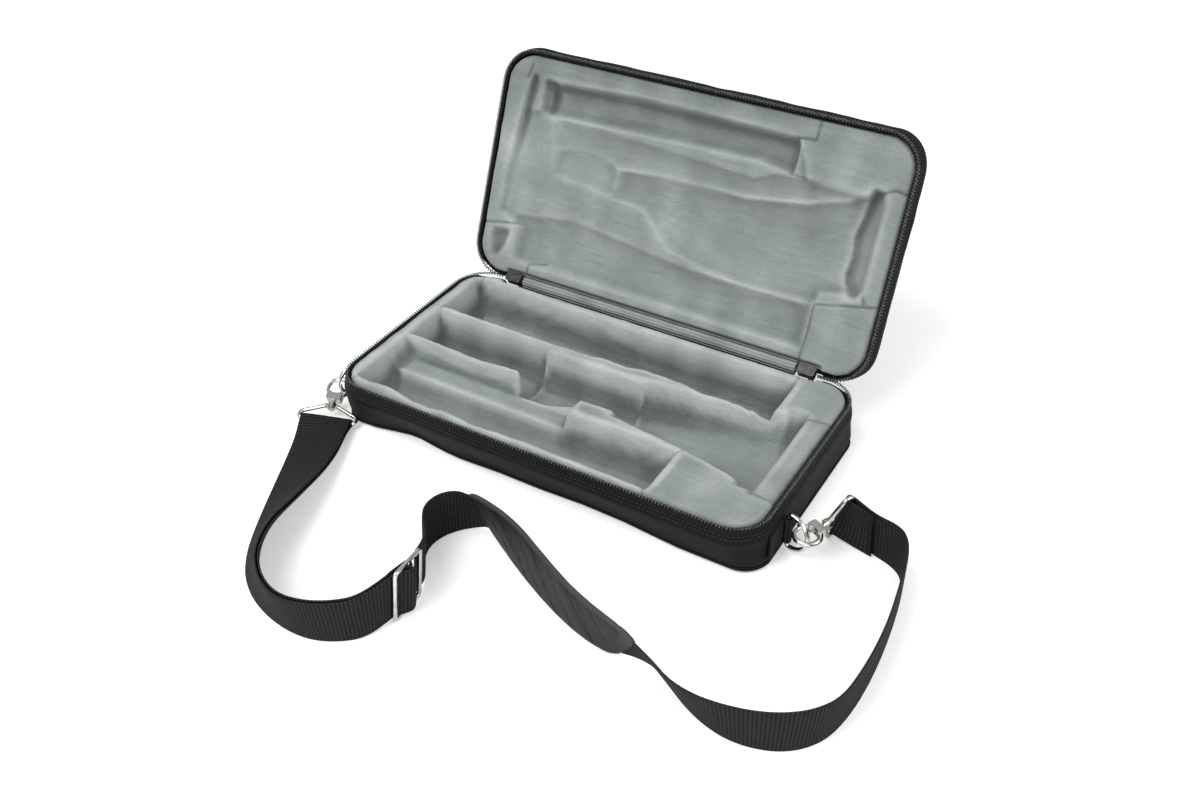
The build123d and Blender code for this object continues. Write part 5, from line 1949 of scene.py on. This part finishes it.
# ---------------------------------------------------------------- tabs
@dataclass
class RingTab:
    """Sewn webbing tab that holds a D-ring to an end wall."""

    side: str
    palette: Palette
    bar: Triple
    wall: float
    tail: float
    half_height: float = 9.9
    thick: float = 1.3
    fold_radius: float = 1.8
    fold_turn: float = 330.0
    fold_gap: float = 3.2
    pitch: float = 2.4

    def build(self) -> None:
        """Makes the folded band and its stitches.

        Formula: the band's line runs along the wall, once round the ring's bar and back to the
        wall; a flattened section is carried along it.
        """
        sign, toward = math.copysign(1.0, self.wall), math.copysign(1.0, self.tail)
        radius = self.fold_radius + self.thick / 2
        inner = self.wall + sign * self.thick / 2
        tail = np.linspace(self.bar[1] + self.tail, self.bar[1] + toward * self.fold_gap, 12)
        line = np.stack([np.full(12, inner), tail], -1)
        turn = np.radians(np.linspace(0, self.fold_turn, 34))
        angle = (math.pi if sign > 0 else 0.0) + toward * sign * turn
        circle = np.stack([radius * np.cos(angle), radius * np.sin(angle)], -1)
        plan = np.concatenate([line, np.array(self.bar[:2]) + circle])
        path = np.concatenate([plan, np.full((len(plan), 1), self.bar[2])], -1)
        section = flat_profile(2 * self.half_height, self.thick, 20, 6.0)[:, ::-1]
        grid = capped(swept(path, section, False, np.array([0.0, 0.0, 1.0])))
        length = run_length(path)
        length = np.concatenate([length[:1], length, length[-1:]])
        uv = (length * MM, looped(section[:, 1]) * MM)
        piece = grid_object(f"ring_tab_{self.side}", grid, False, True, uv=uv)
        dress(piece, self.palette.webbing, "base", "webbing", f"d_ring_tab_{self.side}")
        self.sew(inner + sign * self.thick / 2, sign, toward)

    def sew(self, x: float, sign: float, toward: float) -> None:
        """Box of stitches that holds the tab's tail.

        Args:
            x: Place of the tab's outer face.
            sign: Side of the case, minus one on the left.
            toward: Direction of the tail along Y.
        """
        near, far = self.bar[1] + toward * 6.0, self.bar[1] + self.tail - toward * 2.0
        low, high = self.bar[2] - self.half_height + 2.0, self.bar[2] + self.half_height - 2.0
        upright = np.arange(low, high, self.pitch) + self.pitch / 2
        level = np.arange(min(near, far), max(near, far), self.pitch) + self.pitch / 2
        spots = [(x, y, z, 0.0, 0.0, 1.0) for y in (near, far) for z in upright]
        spots += [(x, y, z, 0.0, 1.0, 0.0) for z in (low, high) for y in level]
        table = np.array(spots)
        out = np.tile([sign, 0.0, 0.0], (len(table), 1))
        name = f"ring_tab_{self.side}_stitches"
        piece = stitches(name, table[:, :3], table[:, 3:], out, 1.9)
        dress(piece, self.palette.thread, "base", "webbing")


# ---------------------------------------------------------------- studio
@dataclass
class Studio:
    """Camera, lamps, pale floor and white surroundings."""

    eye: Triple = (369.0, -601.3, 558.7)
    lens: float = 37.77
    roll: float = -0.0105
    back: Triple = (0.4132, -0.6822, 0.6033)
    right: Triple = (0.8553, 0.5181, 0.0)
    glow: float = 0.32
    light: float = 0.44
    floor_half: float = 6.0

    def camera(self) -> None:
        """Camera at the photograph's place."""
        back, right = np.array(self.back), np.array(self.right)
        up = np.cross(back, right)
        c, s = math.cos(self.roll), math.sin(self.roll)
        matrix = np.identity(4)
        columns = [c * right + s * up, c * up - s * right, back, np.array(self.eye) * MM]
        matrix[:3] = np.stack(columns, -1)
        data = bpy.data.cameras.new("camera")
        data.lens = self.lens
        data.sensor_width = 36.0
        data.clip_start, data.clip_end = 0.01, 20.0
        camera = bpy.data.objects.new("camera", data)
        camera.matrix_world = Matrix(matrix.tolist())
        bpy.context.scene.collection.objects.link(camera)
        bpy.context.scene.camera = camera

    def lamp(self, name: str, place: Triple, aim: Triple, size: float, watts: float) -> None:
        """Soft square lamp that looks at a point, its place and size in metres.

        Args:
            name: Name of the lamp.
            place: Where it stands.
            aim: What it looks at.
            size: Length of its side.
            watts: Its power.
        """
        data = bpy.data.lights.new(name, "AREA")
        data.shape = "SQUARE"
        data.size = size
        data.energy = watts
        lamp = bpy.data.objects.new(name, data)
        lamp.location = place
        lamp.rotation_euler = (Vector(aim) - Vector(place)).to_track_quat("-Z", "Y").to_euler()
        bpy.context.scene.collection.objects.link(lamp)

    def surroundings(self) -> None:
        """World: soft grey light, white where the camera and glass look at it."""
        world = bpy.data.worlds.new("studio")
        world.use_nodes = True
        tree = world.node_tree
        tree.nodes.clear()
        rays = tree.nodes.new("ShaderNodeLightPath")
        seen = tree.nodes.new("ShaderNodeMath")
        seen.operation = "MAXIMUM"
        tree.links.new(rays.outputs["Is Camera Ray"], seen.inputs[0])
        tree.links.new(rays.outputs["Is Transmission Ray"], seen.inputs[1])
        light, white = (tree.nodes.new("ShaderNodeBackground") for _ in range(2))
        for node, strength in ((light, self.light), (white, 1.0)):
            node.inputs[0].default_value = (1.0, 1.0, 1.0, 1.0)
            node.inputs[1].default_value = strength
        mix, output = (tree.nodes.new(f"ShaderNode{kind}") for kind in ("MixShader", "OutputWorld"))
        tree.links.new(seen.outputs[0], mix.inputs[0])
        tree.links.new(light.outputs[0], mix.inputs[1])
        tree.links.new(white.outputs[0], mix.inputs[2])
        tree.links.new(mix.outputs[0], output.inputs[0])
        bpy.context.scene.world = world

    def floor(self) -> None:
        """Pale floor whose lit part reads as white and which keeps the shadow."""
        mesh = bpy.data.meshes.new("floor")
        signs = ((-1, -1), (1, -1), (1, 1), (-1, 1))
        corners = [(a * self.floor_half, b * self.floor_half, 0) for a, b in signs]
        mesh.from_pydata(corners, [], [(0, 1, 2, 3)])
        floor = bpy.data.objects.new("floor", mesh)
        bpy.context.scene.collection.objects.link(floor)
        paint = Paint("floor")
        paint.set(Base_Color=(0.86, 0.86, 0.86, 1.0), Roughness=0.9, Specular_IOR_Level=0.1)
        tree = paint.tree
        rays = tree.nodes.new("ShaderNodeLightPath")
        glow = tree.nodes.new("ShaderNodeEmission")
        glow.inputs[0].default_value = (1, 1, 1, 1)
        place = tree.nodes.new("ShaderNodeVectorMath")
        place.operation = "LENGTH"
        tree.links.new(paint.coordinates(Coordinates.OBJECT), place.inputs[0])
        fade = tree.nodes.new("ShaderNodeMapRange")
        for index, value in enumerate((0.6, 1.5, self.glow, 1.0), start=1):
            fade.inputs[index].default_value = value
        tree.links.new(place.outputs["Value"], fade.inputs[0])
        strength = paint.math("MULTIPLY", rays.outputs["Is Camera Ray"], fade.outputs[0])
        tree.links.new(strength, glow.inputs[1])
        both = tree.nodes.new("ShaderNodeAddShader")
        tree.links.new(paint.shader.outputs[0], both.inputs[0])
        tree.links.new(glow.outputs[0], both.inputs[1])
        output = next(node for node in tree.nodes if node.type == "OUTPUT_MATERIAL")
        tree.links.new(both.outputs[0], output.inputs[0])
        mesh.materials.append(paint.material)

    def build(self) -> None:
        """Sets the whole studio up."""
        self.camera()
        self.surroundings()
        self.floor()
        self.lamp("key", (-0.35, -0.9, 1.5), (0.0, 0.0, 0.05), 1.1, 26.0)
        self.lamp("side", (1.4, 0.2, 1.1), (0.05, 0.0, 0.05), 0.9, 12.0)
        self.lamp("front", (0.7, -1.5, 0.5), (0.05, -0.1, 0.05), 0.8, 7.0)
        bpy.context.scene.view_settings.view_transform = "Standard"


# ---------------------------------------------------------------- whole case
@dataclass
class Hardware:
    """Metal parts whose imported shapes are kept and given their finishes."""

    palette: Palette

    def build(self, nodes: dict[str, Piece]) -> None:
        """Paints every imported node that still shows.

        Args:
            nodes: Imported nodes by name.
        """
        finishes = (
            (self.palette.nickel, ("d_ring", "hook", "hook_gate", "strap_ring")),
            (self.palette.enamel, ("zip_slider", "zip_pull")),
        )
        for material, parts in finishes:
            for name in (f"{part}_{side}" for part in parts for side in ("left", "right")):
                slots = nodes[name].data.materials
                slots.clear()
                slots.append(material)
                LOG.info("%s keeps its packed shape", name)


def main() -> None:
    """Builds the case in its studio."""
    logging.basicConfig(level=logging.INFO, format="%(message)s")
    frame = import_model()
    Studio().build()
    palette = Palette()
    Strap(palette).build()
    base_bulge = (
        (0.0, 3.9, 3.9, 3.9), (7.0, 4.9, 4.9, 4.5), (12.0, 5.6, 5.6, 4.6), (36.0, 5.4, -3.0, 1.5),
        (40.0, 5.0, -3.6, 1.2),
    )  # fmt: skip
    lid_bulge = (
        (0.0, 3.9, 3.9, 3.9), (7.0, 4.9, 4.9, 3.9), (12.0, 5.6, 5.6, 3.8), (22.0, 3.0, 4.0, 3.5),
        (32.0, -1.5, 1.5, 3.2), (38.0, -4.5, -1.0, 3.0), (40.0, -5.5, -2.0, 2.9),
    )  # fmt: skip
    base_panels = ("base_side_panel", "base_tray", "base_bottom_panel")
    lid_panels = ("lid_side_panel", "lid_shell", "lid_top_panel")
    CoverHalf(Half.BASE, palette, base_bulge, base_panels).build()
    CoverHalf(Half.LID, palette, lid_bulge, lid_panels, wall_foot=4.8, slack_seed=5).build()
    base_blocks = (
        "base_lining_floor", "left_end_block", "front_rail", "front_divider", "right_front_block",
        "back_divider", "back_rail", "back_right_block", "end_roll",
    )  # fmt: skip
    lid_blocks = (
        "lid_left_border", "lid_right_border", "lid_front_border", "lid_corner_block",
        "lid_end_block", "lid_centre_pad",
    )  # fmt: skip
    BaseLining(Half.BASE, palette, base_blocks).build("base_plush")
    LidLining(Half.LID, palette, lid_blocks).build("lid_plush")
    HingeCloth(palette).build()
    RingTab("right", palette, (169.0, -46.0, 18.0), 165.9, -22.0).build()
    RingTab("left", palette, (-169.0, -53.0, 16.0), -165.9, 22.0).build()
    Hardware(palette).build(frame["nodes"])


if __name__ == "__main__":
    main()
